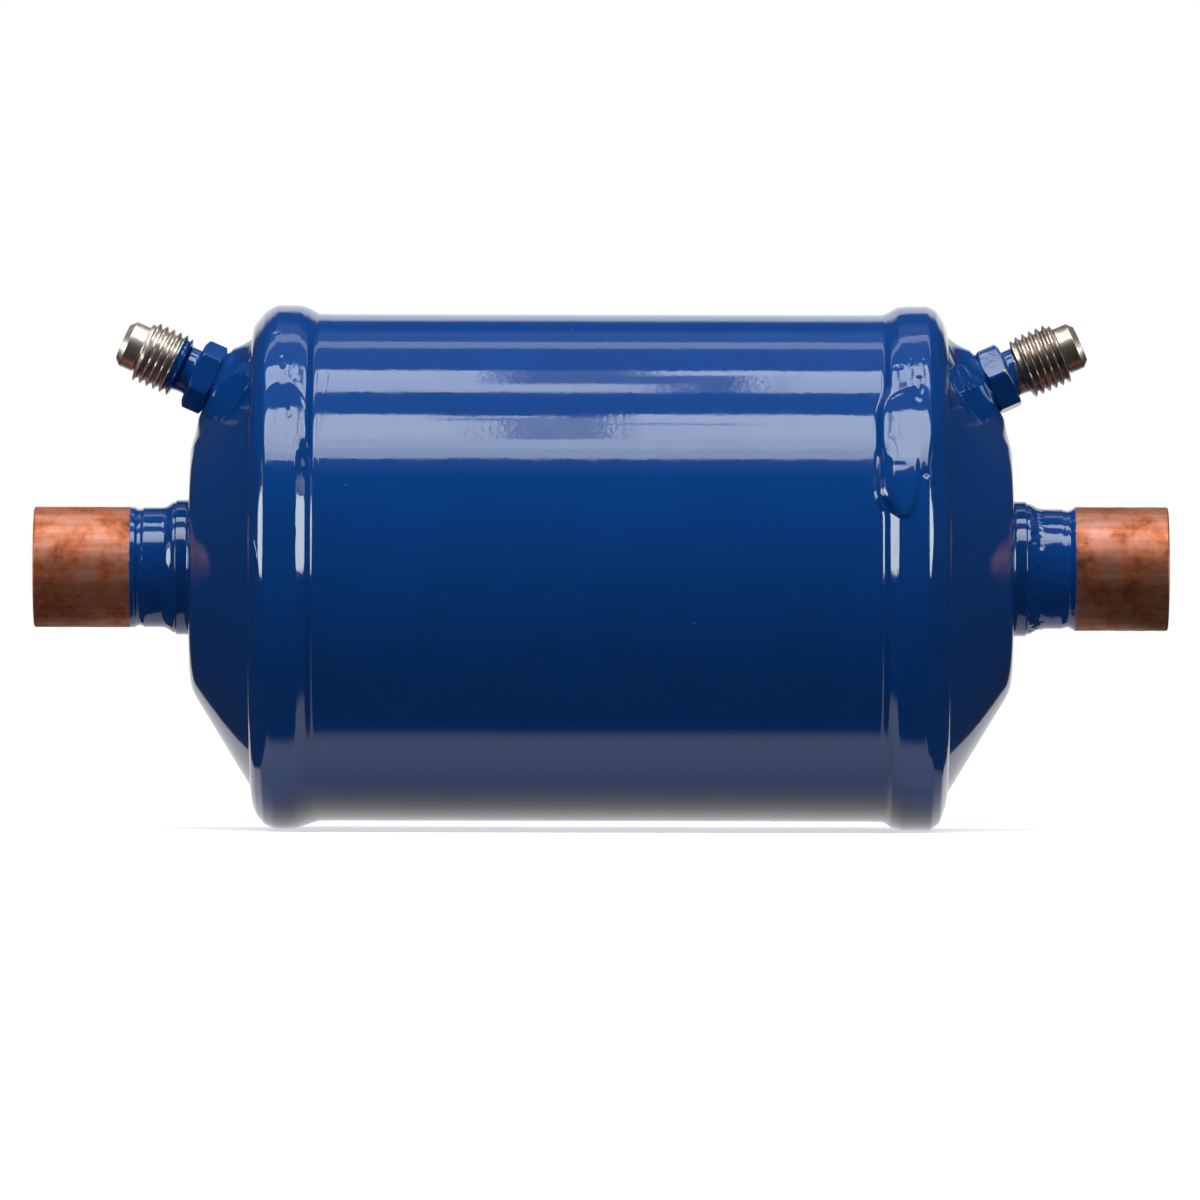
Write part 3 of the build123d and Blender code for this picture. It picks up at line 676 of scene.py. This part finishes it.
def valvePlace(out):
    # from a valve's own frame, x along it from the foot of the hex, to the drier's
    along = Vector((out * valveWay[0], 0, valveWay[2]))
    up = Vector((-out * valveWay[2], 0, valveWay[0]))
    turnedFrame = Matrix((along, up.cross(along), up)).transposed().to_4x4()
    return Matrix.Translation(Vector((out * seat[0], 0, seat[2])) * mm) @ turnedFrame


def lineDistance(spots, line):
    # signed distance in the half plane from points to an open line, positive on its left
    best = np.full(len(spots), 1e9)
    signed = np.zeros(len(spots))
    for a, b in zip(line[:-1], line[1:]):
        run = b - a
        if run @ run < 1e-12:
            continue
        share = np.clip((spots - a) @ run / (run @ run), 0, 1)
        gap = spots - (a + share[:, None] * run)
        far = np.hypot(gap[:, 0], gap[:, 1])
        side = np.sign(run[0] * (spots[:, 1] - a[1]) - run[1] * (spots[:, 0] - a[0]))
        near = far < best
        best[near] = far[near]
        signed[near] = (far * side)[near]
    return signed


def halfPlane(spots):
    return np.column_stack((spots[:, 0], np.hypot(spots[:, 1], spots[:, 2])))


def aboutValve(spots):
    # how far points are along the valve's axis from its seat, and off that axis
    fromSeat = spots - seat
    along = fromSeat @ valveWay
    return along, np.linalg.norm(fromSeat - along[:, None] * valveWay, axis=1)


capFront = [
    (skirtEnd, skirt, 0), (shoulder, skirt, capSize["shoulderRound"]), (crown, crownCorner, capSize["crownRound"]),
]
capOuter = outline(capFront + [(crown, 5.0, 0)], 9.0, closed=False, bend=1.6)
flankEnd = np.array((bossSize["top"] - bossSize["deep"], bossSize["foot"]))
flankTop = np.array((bossSize["top"], bossSize["radius"]))
flankRun = flankEnd - flankTop
across = np.array((flankRun[1], -flankRun[0])) / np.linalg.norm(flankRun)
flank = []
for row in range(bossSize["firstRow"], bossSize["flankRows"] + 1):
    share = row / bossSize["flankRows"]
    flank.append(tuple(flankTop + flankRun * share - across * bossSize["sag"] * 4 * share * (1 - share)) + (0,))
bossTop = [(bossSize["top"], 0, 0), (bossSize["top"], bossSize["radius"], bossSize["rim"])]
bossOuter = outline(bossTop + flank + [(flankEnd[0] - 4, flankEnd[1] + 5.2, 0)], 9.0, closed=False, bend=4)


def solidDistance(spots):
    # distance outside the cap and its boss, run smoothly into each other
    fromCap = lineDistance(halfPlane(spots), capOuter)
    fromBoss = -lineDistance(np.column_stack(aboutValve(spots)), bossOuter)
    # the blend is wide on the crown side and tight at the shoulder
    soft = np.interp(np.hypot(spots[:, 1], spots[:, 2]), *zip(*bossSize["blend"]))
    share = np.clip(0.5 + 0.5 * (fromBoss - fromCap) / soft, 0, 1)
    return fromBoss * (1 - share) + fromCap * share - soft * share * (1 - share)


def raiseBoss(spots):
    # lifts the cap's outer skin along the valve's axis on to the boss
    spots = spots.copy()
    outer = np.abs(lineDistance(halfPlane(spots), capOuter)) < rise["skin"]
    moved = (aboutValve(spots)[1] < rise["reach"]) & (spots[:, 2] > rise["floor"]) & outer
    start = spots[moved]
    lift = np.full(len(start), rise["start"])
    for k in range(rise["rounds"]):
        lift -= rise["stride"] * solidDistance(start + lift[:, None] * valveWay)
    spots[moved] = start + np.maximum(lift, 0)[:, None] * valveWay
    return spots


capCorners = capFront + [
    (crown, capSize["collar"], 0.9), (mouth, capSize["collar"], 0.35), (mouth, capSize["joint"], 0.1),
    (crown - wall, capSize["joint"], 1.4), (crown - wall, crownCorner - 0.8, capSize["crownRound"] - wall),
    (shoulder - 1.3, skirt - wall, capSize["shoulderRound"] - wall), (skirtEnd, skirt - wall, 0),
]
capLine = outline(capCorners, 0.3, bend=2.2)
x, r = capLine.T
row = np.arange(len(capLine))
mouthRow = np.argmax(x)
onCone = (x > closeRows["coneX"]) & (r > closeRows["coneRadius"]) & (row < mouthRow)
onCollar = (x > closeRows["collarX"]) & (r < closeRows["collarRadius"]) & (row < mouthRow + 4)
keep = onCone | onCollar | (row % closeRows["every"] == 0)
keep[-1] = True
for end, out in ends:
    piece = turned(
        end + "PressedCap", capLine[keep], blueEnamel, after=raiseBoss, matrix=mirrorOut(out),
        Segments=capSize["segments"], Crowding=0.30,
    )
    settle(piece, "drier", "enamel", end + "_end_cap")
print("caps done")

# Seam welds: a hand-run bead flooded with enamel. Its section is given in mm (along, radius) at the
# side and where it differs at the top and bottom. Arcs run up from the side that faces the camera.
# Ripple: middle, peak arc, inboard and outboard bow, height, width. Grooves: along, low and high arc,
# width, depth. Pits: along, arc, width, length, depth.
weldSize = {
    "inlet": {
        "side": [
            (47.2, 44.452), (49.4, 44.46), (49.9, 44.45), (50.32, 44.98), (50.6, 44.9), (50.95, 44.68),
            (52.95, 46.28), (53.5, 46.3), (55.0, 46.3), (57.8, 46.22), (58.4, 46.02), (59.2, 45.3), (60.0, 44.4),
            (60.8, 43.4), (61.1, 42.4), (61.3, 39.2), (61.15, 38.5),
        ],
        "high": [
            (49.4, 44.46), (49.95, 44.55), (50.3, 44.9), (50.9, 45.72), (51.3, 45.96), (52.5, 46.05), (55.0, 46.1),
            (58.0, 46.06), (58.5, 45.9), (59.2, 45.3), (60.0, 44.5), (60.7, 43.4),
        ],
        "top": [
            (49.3, 44.5), (51.05, 45.38), (52.3, 45.85), (53.2, 45.96), (56.6, 45.96), (57.6, 45.55),
            (58.8, 44.8), (60.3, 43.1), (60.9, 42.2),
        ],
        "bottom": [
            (49.3, 44.47), (51.1, 45.0), (53.4, 45.86), (55.4, 46.02), (57.1, 45.9), (58.9, 45.1), (60.2, 43.6),
            (60.9, 42.2),
        ],
        "seed": 2.0, "shift": 0.0, "tongue": None,
        "ripple": (55.2, 35.9, 0.32, 0.32, 0.10, 1.1),
        "grooves": [
            (55.4, 39.0, 42.4, 0.30, -0.10), (53.7, 36.5, 42.4, 0.22, -0.07), (56.0, 26.0, 27.6, 0.3, -0.05),
            (54.6, 31.0, 34.0, 1.1, -0.06), (53.9, 27.5, 32.5, 0.25, -0.05),
        ],
        "pits": [(56.7, 50.2, 0.55, 0.5, -0.3)],
    },
    "outlet": {
        "side": [
            (47.2, 44.452), (48.3, 44.46), (48.6, 44.45), (49.02, 44.98), (49.35, 44.9), (49.7, 44.7), (51.65, 46.27),
            (52.2, 46.3), (53.0, 46.3), (56.2, 46.24), (56.7, 46.04), (57.35, 45.4), (58.6, 44.0),
            (59.8, 42.7), (60.4, 41.7), (60.65, 40.6), (60.75, 39.2), (60.6, 38.5),
        ],
        "high": [
            (48.7, 44.46), (49.1, 44.55), (49.45, 44.9), (50.05, 45.72), (50.5, 45.96), (51.5, 46.05), (54.0, 46.08),
            (56.6, 46.02), (57.2, 45.82), (57.8, 45.25), (58.5, 44.6), (59.7, 43.1), (60.4, 41.9),
        ],
        "top": [
            (48.6, 44.47), (49.3, 44.5), (50.3, 44.95), (51.8, 45.8), (53.6, 46.0), (57.0, 46.0), (58.5, 45.3),
            (59.7, 43.6), (60.2, 42.5), (60.4, 41.9),
        ],
        "bottom": [
            (48.6, 44.47), (49.3, 44.5), (50.0, 44.75), (50.8, 45.4), (52.75, 46.02), (57.7, 46.02), (59.4, 44.7),
            (60.2, 42.6), (60.4, 41.9),
        ],
        "seed": 7.0, "shift": 1.5,
        "tongue": {"middle": 52.2, "half": 2.5, "tip": 8.8, "round": 6.5, "lift": 0.6, "edge": 1.7, "fade": (14, 27)},
        "ripple": (56.1, 35.5, 0.11, 0.9, 0.10, 1.1),
        "grooves": [
            (53.6, 34.5, 42.0, 0.22, -0.06), (55.7, 36.0, 42.0, 0.24, -0.06), (55.1, 31.5, 37.0, 0.55, -0.17),
        ],
        "pits": [
            (51.4, 24.0, 0.45, 0.3, -0.035), (50.6, 20.8, 0.4, 0.28, -0.035), (51.7, 18.0, 1.2, 0.5, -0.10),
            (51.4, 39.5, 0.9, 0.55, -0.08), (56.15, 16.7, 0.55, 0.55, -0.38),
        ],
    },
}


# The bead's skin lies outside skin or beyond heel; lifts fade over (from, length) down to the cap.
# High, top and bottom are shares of the way up; the rest are places along, or arcs, in mm.
weldRule = {
    "skin": 44.3, "heel": 58.0, "fade": (39.6, 2.6), "round": 46.0, "fine": 0.04, "spread": 18, "soft": 0.15,
    "high": (0.38, 0.50), "top": (0.74, 0.95), "bottom": (0.55, 0.88), "ripple": (50.2, 51.0, 58.6, 59.4),
    "apart": (0.2, 2.0), "wander": (0.12, 1.7), "ends": 0.6, "rim": (0.12, 1.6, 0.5),
    "shiftArc": (9.0, 14.0, 29.0, 36.0), "shiftAlong": (47.6, 48.6, 50.2, 53.5),
    "waves": (49.4, 51.0, 60.2, 61.8), "root": [(58.5, 41.0, 0), (52.0, 43.6, 0), (47.2, 43.8, 0), (47.2, 44.452, 0)],
}


def softLine(points, step):
    # a line through points, eased over its corners and cut to even steps
    points = np.array(points, float)
    gone = np.concatenate(([0], np.cumsum(np.linalg.norm(np.diff(points, axis=0), axis=1))))
    fine = np.linspace(0, gone[-1], int(gone[-1] / weldRule["fine"]))
    spots = np.column_stack([np.interp(fine, gone, points[:, k]) for k in (0, 1)])
    reach = weldRule["spread"]
    kernel = np.exp(-0.5 * (np.arange(-reach, reach + 1) * weldRule["fine"] / weldRule["soft"]) ** 2)
    kernel /= kernel.sum()
    wide = np.pad(spots, ((reach, reach), (0, 0)), mode="reflect", reflect_type="odd")
    spots = np.column_stack([np.convolve(wide[:, k], kernel, "valid") for k in (0, 1)])
    return spots[np.linspace(0, len(spots) - 1, int(gone[-1] / step)).round().astype(int)]


def eased(value, low, high):
    share = np.clip((value - low) / (high - low), 0, 1)
    return share * share * (3 - 2 * share)


def within(value, start, full, fade, end):
    # 0 up to start, 1 from full to fade, 0 beyond end
    return eased(value, start, full) * eased(-value, -end, -fade)


def workedWeld(size):
    side = softLine(size["side"][:-3], 0.05)
    high, top, bottom = (softLine(size[name], 0.05) for name in ("high", "top", "bottom"))

    def work(spots):
        spots = spots.copy()
        x, radius = spots[:, 0], np.hypot(spots[:, 1], spots[:, 2])
        up = spots[:, 2] / radius
        arc = np.arctan2(spots[:, 2], -spots[:, 1]) * weldRule["round"]
        skin = (radius > weldRule["skin"]) | (x > weldRule["heel"])
        isTop, isBottom = eased(up, *weldRule["top"]), eased(-up, *weldRule["bottom"])
        isHigh = eased(up, *weldRule["high"]) * (1 - isTop)
        lift = np.zeros(len(spots))
        for share, line in ((isHigh, high), (isTop, top), (isBottom, bottom)):
            lift += share * (np.interp(x, line[:, 0], line[:, 1]) - np.interp(x, side[:, 0], side[:, 1]))
        lift *= skin * np.clip((radius - weldRule["fade"][0]) / weldRule["fade"][1], 0, 1)
        # one raised ripple across the bead, bowed as the weld pool leaves it
        middle, peak, inboard, outboard, height, wide = size["ripple"]
        bow = peak - np.where(x < middle, inboard, outboard) * (x - middle) ** 2
        ripple = height * np.exp(-((arc - bow) / wide) ** 2) * eased(np.abs(x - middle), *weldRule["apart"])
        lift += ripple * within(x, *weldRule["ripple"])
        sway, pace = weldRule["wander"]
        soft = weldRule["ends"]
        for cx, low, tall, reach, depth in size["grooves"]:
            bent = (x - cx - sway * np.sin(arc * pace)) / reach
            lift += depth * np.exp(-bent ** 2) * within(arc, low - soft, low + soft, tall - soft, tall + soft)
        share, away, wide = weldRule["rim"]
        for cx, ca, wideX, wideA, depth in size["pits"]:
            far = np.hypot((x - cx) / wideX, (arc - ca) / wideA)
            # a pit keeps a low rim, as solidified metal does
            lift += depth * np.exp(-far ** 2) - share * depth * np.exp(-((far - away) / wide) ** 2)
        if size["tongue"]:
            tongue = size["tongue"]
            grown = np.clip((arc - tongue["tip"]) / tongue["round"], 0, 1)
            grown = np.sqrt(grown * (2 - grown))
            off = np.abs(x - tongue["middle"]) - tongue["half"] * grown
            raised = eased(-off, -tongue["edge"] / 2, tongue["edge"] / 2) * (grown > 0)
            lift += tongue["lift"] * raised * eased(-arc, -tongue["fade"][1], -tongue["fade"][0])
        grown = (radius + lift) / radius
        spots[:, 1] *= grown
        spots[:, 2] *= grown
        moved = within(arc, *weldRule["shiftArc"]) * within(x, *weldRule["shiftAlong"]) * skin
        spots[:, 0] -= size["shift"] * moved
        return spots
    return work


for end, out in ends:
    size = weldSize[end]
    root = outline([size["side"][-1] + (0,)] + weldRule["root"], 3.0, closed=False)
    weldLine = np.vstack((softLine(size["side"], 0.23), root[1:]))
    onTop = within(weldLine[:, 0], *weldRule["waves"]) * (weldLine[:, 1] > weldRule["skin"])
    marks = np.column_stack((onTop, np.zeros((len(onTop), 2))))
    piece = turned(
        end + "SeamWeld", weldLine, runEnamel, marks=marks, after=workedWeld(size), matrix=mirrorOut(out),
        Segments=600, Crowding=0.6, Wave_Height=0.10 * mm, Wave_Length=7 * mm, Wave_Seed=size["seed"],
    )
    settle(piece, "drier", "enamel", end + "_seam_weld")
print("welds done")

# Connections: copper tube with a rolled stop groove, brazed into the collar.
tubeSize = {
    "inlet": {"radius": 10.55, "groove": 80.9, "wide": 1.6, "deep": 0.35, "braze": 2.5, "bump": 0.12, "wave": 0.05},
    "outlet": {"radius": 10.85, "groove": 81.9, "wide": 2.4, "deep": 0.25, "braze": 3.1, "bump": 0.75, "wave": 0.22},
    "inner": 69.2, "rim": 99.4, "neck": 10.5, "neckBore": 9.35, "bore": 9.58, "bead": 0.35, "toe": 11.5, "rows": 15,
}
inner, rim, neck, neckBore, bore = (tubeSize[key] for key in ("inner", "rim", "neck", "neckBore", "bore"))
for end, out in ends:
    size = tubeSize[end]
    start, stop = size["groove"] - size["wide"] / 2, size["groove"] + size["wide"] / 2
    tubeLine = outline([
        (inner, neck, 0), (start, neck, 0.5), (size["groove"], neck - 1.4 * size["deep"], 0.9),
        (stop, size["radius"], 0.6), (rim, size["radius"], 0.4), (rim, bore + 0.25, 0), (rim - 0.25, bore, 0),
        (stop, bore, 0.4), (size["groove"], neckBore - 1.3 * tubeSize["bead"], 0.8), (start, neckBore, 0.4),
        (inner, neckBore, 0),
    ], 0.5)
    outside = (tubeLine[:, 1] > neck - 0.5) & (tubeLine[:, 0] < rim - 1)
    marks = np.column_stack((outside.astype(float), np.zeros((len(tubeLine), 2))))
    piece = turned(
        end + "SocketTube", tubeLine, socketCopper(end), marks=marks, matrix=mirrorOut(out),
        Segments=160, Wave_Height=size["wave"] * mm, Wave_Length=3.6 * mm, Wave_Seed=3.0 + out,
    )
    settle(piece, "drier", "copper", end + "_connection")
    length, face, toe = size["braze"], mouth, tubeSize["toe"]
    bend = [(face, toe), (face + length / 3, toe), (face + length / 2, neck), (face + length, neck)]
    fillet = []
    for k in range(tubeSize["rows"]):
        u = k / (tubeSize["rows"] - 1)
        mix = ((1 - u) ** 3, 3 * u * (1 - u) ** 2, 3 * u * u * (1 - u), u ** 3)
        fillet.append(tuple(sum(m * p[i] for m, p in zip(mix, bend)) for i in (0, 1)))
    back, tail = face - 0.3, face + length + 0.7
    under = [(tail, neck + 0.01), (tail, neck - 0.25), (back, neck - 0.25), (back, toe)]
    brazeLine = np.array([(back, toe)] + fillet + under)
    marks = np.zeros((len(brazeLine), 3))
    marks[3:tubeSize["rows"], 0] = 1
    piece = turned(
        end + "TubeBraze", brazeLine, blueEnamel, marks=marks, matrix=mirrorOut(out),
        Segments=240, Wave_Height=size["bump"] * mm, Wave_Length=1.9 * mm, Wave_Seed=5.0 + out,
    )
    settle(piece, "drier", "enamel", end + "_connection_braze")
print("connections done")

# Access valves: 1/4 in flare, 7/16-20 thread, turned from hexagon bar.
valve = {
    "spigot": 3.8, "flats": 11.1, "neck": 4.1, "corner": 6.42, "threadRadius": 5.55, "threadEnd": 13.6, "nose": 4.15,
    "bore": 2.62, "passage": 2.1, "pitch": 1.27, "depth": 0.78, "eased": 0.35,
    "inlet": {"flat": -84.5, "edge": 7.7, "slant": 0.0}, "outlet": {"flat": 54.0, "edge": 5.3, "slant": 0.16},
}
spigot, neckWide, passage, boreWide, nose = (valve[key] for key in ("spigot", "neck", "passage", "bore", "nose"))
corner, thread, threadEnd = valve["corner"], valve["threadRadius"], valve["threadEnd"]
# each run of the outline with its own step: shank, hexagon and neck, thread, nose and bore
bodyParts = [
    ([(10.6, passage, 0), (-4.5, passage, 0), (-4.5, spigot, 0), (0.0, spigot, 0)], 2.0),
    ([
        (0.0, spigot, 0), (0.0, 5.5, 0.2), (0.45, corner, 0.25), (3.55, corner, 0.25), (4.1, 5.35, 0.3),
        (4.1, neckWide, 0.45), (5.75, neckWide, 0.2),
    ], 0.2),
    ([(5.75, neckWide, 0), (6.6, thread, 0), (threadEnd, thread, 0), (14.15, nose, 0.15)], 0.085),
    ([
        (14.15, nose, 0), (16.6, nose, 0.2), (17.6, nose - 1.0, 0.12), (17.6, boreWide + 0.2, 0.08),
        (17.4, boreWide, 0), (11.2, boreWide, 0), (10.6, passage, 0),
    ], 0.5),
]
runs = [outline(corners, step, closed=False) for corners, step in bodyParts]
bodyLine = np.vstack([runs[0]] + [run[1:] for run in runs[1:]])
ringLine = outline([
    (-0.7, 3.9, 0), (-0.7, 6.35, 0), (-0.5, 6.25, 0.1), (-0.15, 5.7, 0.3), (0.05, 5.4, 0), (0.05, 3.9, 0),
], 0.3)
x, r = bodyLine.T
threadMark = ((x > 5.9) & (x < 14.1) & (r > 4.12)).astype(float)
hexMark = ((x >= 0) & (x <= 4.1) & (r > 4.5)).astype(float)
bodyMarks = np.column_stack((np.zeros(len(x)), threadMark, hexMark))
for end, out in ends:
    size = valve[end]
    steel = valveSteel(end, size["edge"] * mm, size["slant"])
    piece = turned(
        end + "FlareValve", bodyLine, steel, marks=bodyMarks, matrix=valvePlace(out),
        Segments=144, Thread_Pitch=valve["pitch"] * mm, Thread_Depth=valve["depth"] * mm,
        Across_Flats=valve["flats"] * mm, Hex_Turn=math.radians(size["flat"]), Hex_Edge=valve["eased"] * mm,
    )
    settle(piece, "drier", "plated_steel", end + "_valve_body")
    ringMarks = np.zeros((len(ringLine), 3))
    ringMarks[:, 0] = ringLine[:, 1] > 5.5
    piece = turned(
        end + "ValveBraze", ringLine, blueEnamel, marks=ringMarks, matrix=valvePlace(out),
        Segments=96, Wave_Height=0.3 * mm, Wave_Length=2 * mm, Wave_Seed=9.0 + out,
    )
    settle(piece, "drier", "enamel", end + "_valve_braze")
print("valves done")

# The rule for springs: wire wound on a cylinder or a cone.
coilTree, given = newTree("coilRule", [
    ("Turns", "Float", 4.0), ("Length", "Float", 0.005), ("Start Radius", "Float", 0.001),
    ("End Radius", "Float", 0.001), ("Wire", "Float", 0.0001), ("Steps", "Int", 96), ("Material", "Material", None),
])
tree = coilTree
line = add(tree, "GeometryNodeCurvePrimitiveLine", {1: (0.01, 0.0, 0.0)})
line = add(tree, "GeometryNodeResampleCurve", {0: line, 2: given["Steps"]})
share = add(tree, "GeometryNodeSplineParameter")
angle = maths(tree, "MULTIPLY", share, given["Turns"])
angle = maths(tree, "MULTIPLY", angle, 2 * math.pi)
# the end turns lie almost flat, as on a closed-end spring
climb = mixed(tree, 0.86, share, ranged(tree, share, 0.09, 0.91))
climb = maths(tree, "MULTIPLY", climb, given["Length"])
radius = mixed(tree, share, given["Start Radius"], given["End Radius"])
east, north = aroundAxis(tree, angle, radius)
place = joined(tree, climb, east, north)
line = add(tree, "GeometryNodeSetPosition", {0: line, 2: place})
wire = add(tree, "GeometryNodeCurvePrimitiveCircle", {0: 10, 4: given["Wire"]})
coil = add(tree, "GeometryNodeCurveToMesh", {"Curve": line, "Profile Curve": wire, "Fill Caps": True})
closeTree(tree, coil, given)


def coiled(name, matrix, **inputs):
    values = {"Material": finishes["spring_steel"]}
    values.update({label.replace("_", " "): value for label, value in inputs.items()})
    piece = shapedBy(coilTree, bpy.data.meshes.new(name + "Start"), values, name)
    piece.data.transform(matrix)
    smoothFaces(piece, 60)
    return piece


# The core's spring, its foot on the barrel; the pin travels 1.5 mm.
coreSpring = {"foot": 7.4, "head": 12.8, "wire": 0.13, "radius": 0.95, "turns": 3.0, "travel": 1.5}
wire, radius = coreSpring["wire"] * mm, coreSpring["radius"] * mm
long = coreSpring["head"] - coreSpring["foot"]
for end, out in ends:
    matrix = valvePlace(out) @ Matrix.Translation(((coreSpring["foot"] + coreSpring["wire"]) * mm, 0, 0))
    piece = coiled(
        end + "CoreSpring", matrix, Turns=coreSpring["turns"], Length=(long - 2 * coreSpring["wire"]) * mm,
        Start_Radius=radius, End_Radius=radius, Wire=wire, Steps=100,
    )
    settle(piece, "drier", "spring_steel", end + "_valve_spring")
    way = valvePlace(out).to_3x3() @ Vector((1, 0, 0))
    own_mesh(piece)

# The spring that holds the block is a cone, its large end against the inlet's cap.
blockSpring = {"start": -68.5, "length": 32.2, "large": 17.0, "small": 11.0, "wire": 1.3, "turns": 3.0}
piece = coiled(
    "blockSpring", Matrix.Translation((blockSpring["start"] * mm, 0, 0)),
    Turns=blockSpring["turns"], Length=blockSpring["length"] * mm, Start_Radius=blockSpring["large"] * mm,
    End_Radius=blockSpring["small"] * mm, Wire=blockSpring["wire"] * mm, Steps=160,
)
settle(piece, "drier", "spring_steel", "block_spring")
print("springs done")

# The rule for specks: small flat drops strewn over a band.
speckTree, given = newTree("speckRule", [
    ("Density", "Float", 1000.0), ("Seed", "Int", 1), ("Small", "Float", 0.00005), ("Large", "Float", 0.0002),
    ("Flatness", "Float", 0.4), ("Material", "Material", None),
])
tree = speckTree
scatter = {0: given["Geometry"], "Density": given["Density"], "Seed": given["Seed"]}
strewn = add(tree, "GeometryNodeDistributePointsOnFaces", scatter, out=None).outputs
drop = add(tree, "GeometryNodeMeshIcoSphere", {0: 1.0, 1: 2})
share = add(tree, "FunctionNodeRandomValue", {2: 0.0, 3: 1.0, "Seed": given["Seed"]}, out=1)
share = maths(tree, "POWER", share, 3.0)
wide = mixed(tree, share, given["Small"], given["Large"])
tall = maths(tree, "MULTIPLY", wide, given["Flatness"])
form = joined(tree, wide, wide, tall)
laid = {"Points": strewn["Points"], "Instance": drop, "Rotation": strewn["Rotation"], "Scale": form}
closeTree(tree, add(tree, "GeometryNodeInstanceOnPoints", laid), given)

# Overspray past the masked edges of the connections, and dust nibs in the shell's enamel. Density is
# drops a square millimetre.
overspray = {"small": 0.03, "large": 0.17, "flat": 0.5}
speckSize = {
    "inletOverspray": {"band": (-83.6, -82.0), "radius": 10.54, "density": 1.3, "seed": 4, **overspray},
    "outletOverspray": {"band": (83.0, 85.2), "radius": 10.84, "density": 0.8, "seed": 6, **overspray},
    "dustNibs": {
        "band": (-48.0, 47.0), "radius": 44.44, "density": 0.0012, "seed": 11,
        "small": 0.12, "large": 0.26, "flat": 0.45,
    },
}
bandSides = 96
turns = [k * 2 * math.pi / bandSides for k in range(bandSides + 1)]
for name, size in speckSize.items():
    start = bpy.data.meshes.new(name + "Band")
    radius = size["radius"] * mm
    ring = [(x * mm, radius * math.sin(turn), radius * math.cos(turn)) for x in size["band"] for turn in turns]
    step = bandSides + 1
    start.from_pydata(ring, [], [(k, step + k, step + k + 1, k + 1) for k in range(bandSides)])
    values = {
        "Density": size["density"] * 1e6, "Seed": size["seed"], "Small": size["small"] * mm,
        "Large": size["large"] * mm, "Flatness": size["flat"], "Material": blueEnamel,
    }
    settle(shapedBy(speckTree, start, values, name), "drier", "enamel")
print("specks done")

# CAD nodes that stay take the finish of their slot.
wanted = {item["node"]: item["material_slot"] for item in frame["record"]["subparts"]}
for name, node in frame["nodes"].items():
    if not node.hide_render:
        material = finishes[wanted[name]]
        if not node.material_slots:
            node.data.materials.append(material)
        for place in node.material_slots:
            place.material = material
print("inner parts finished")
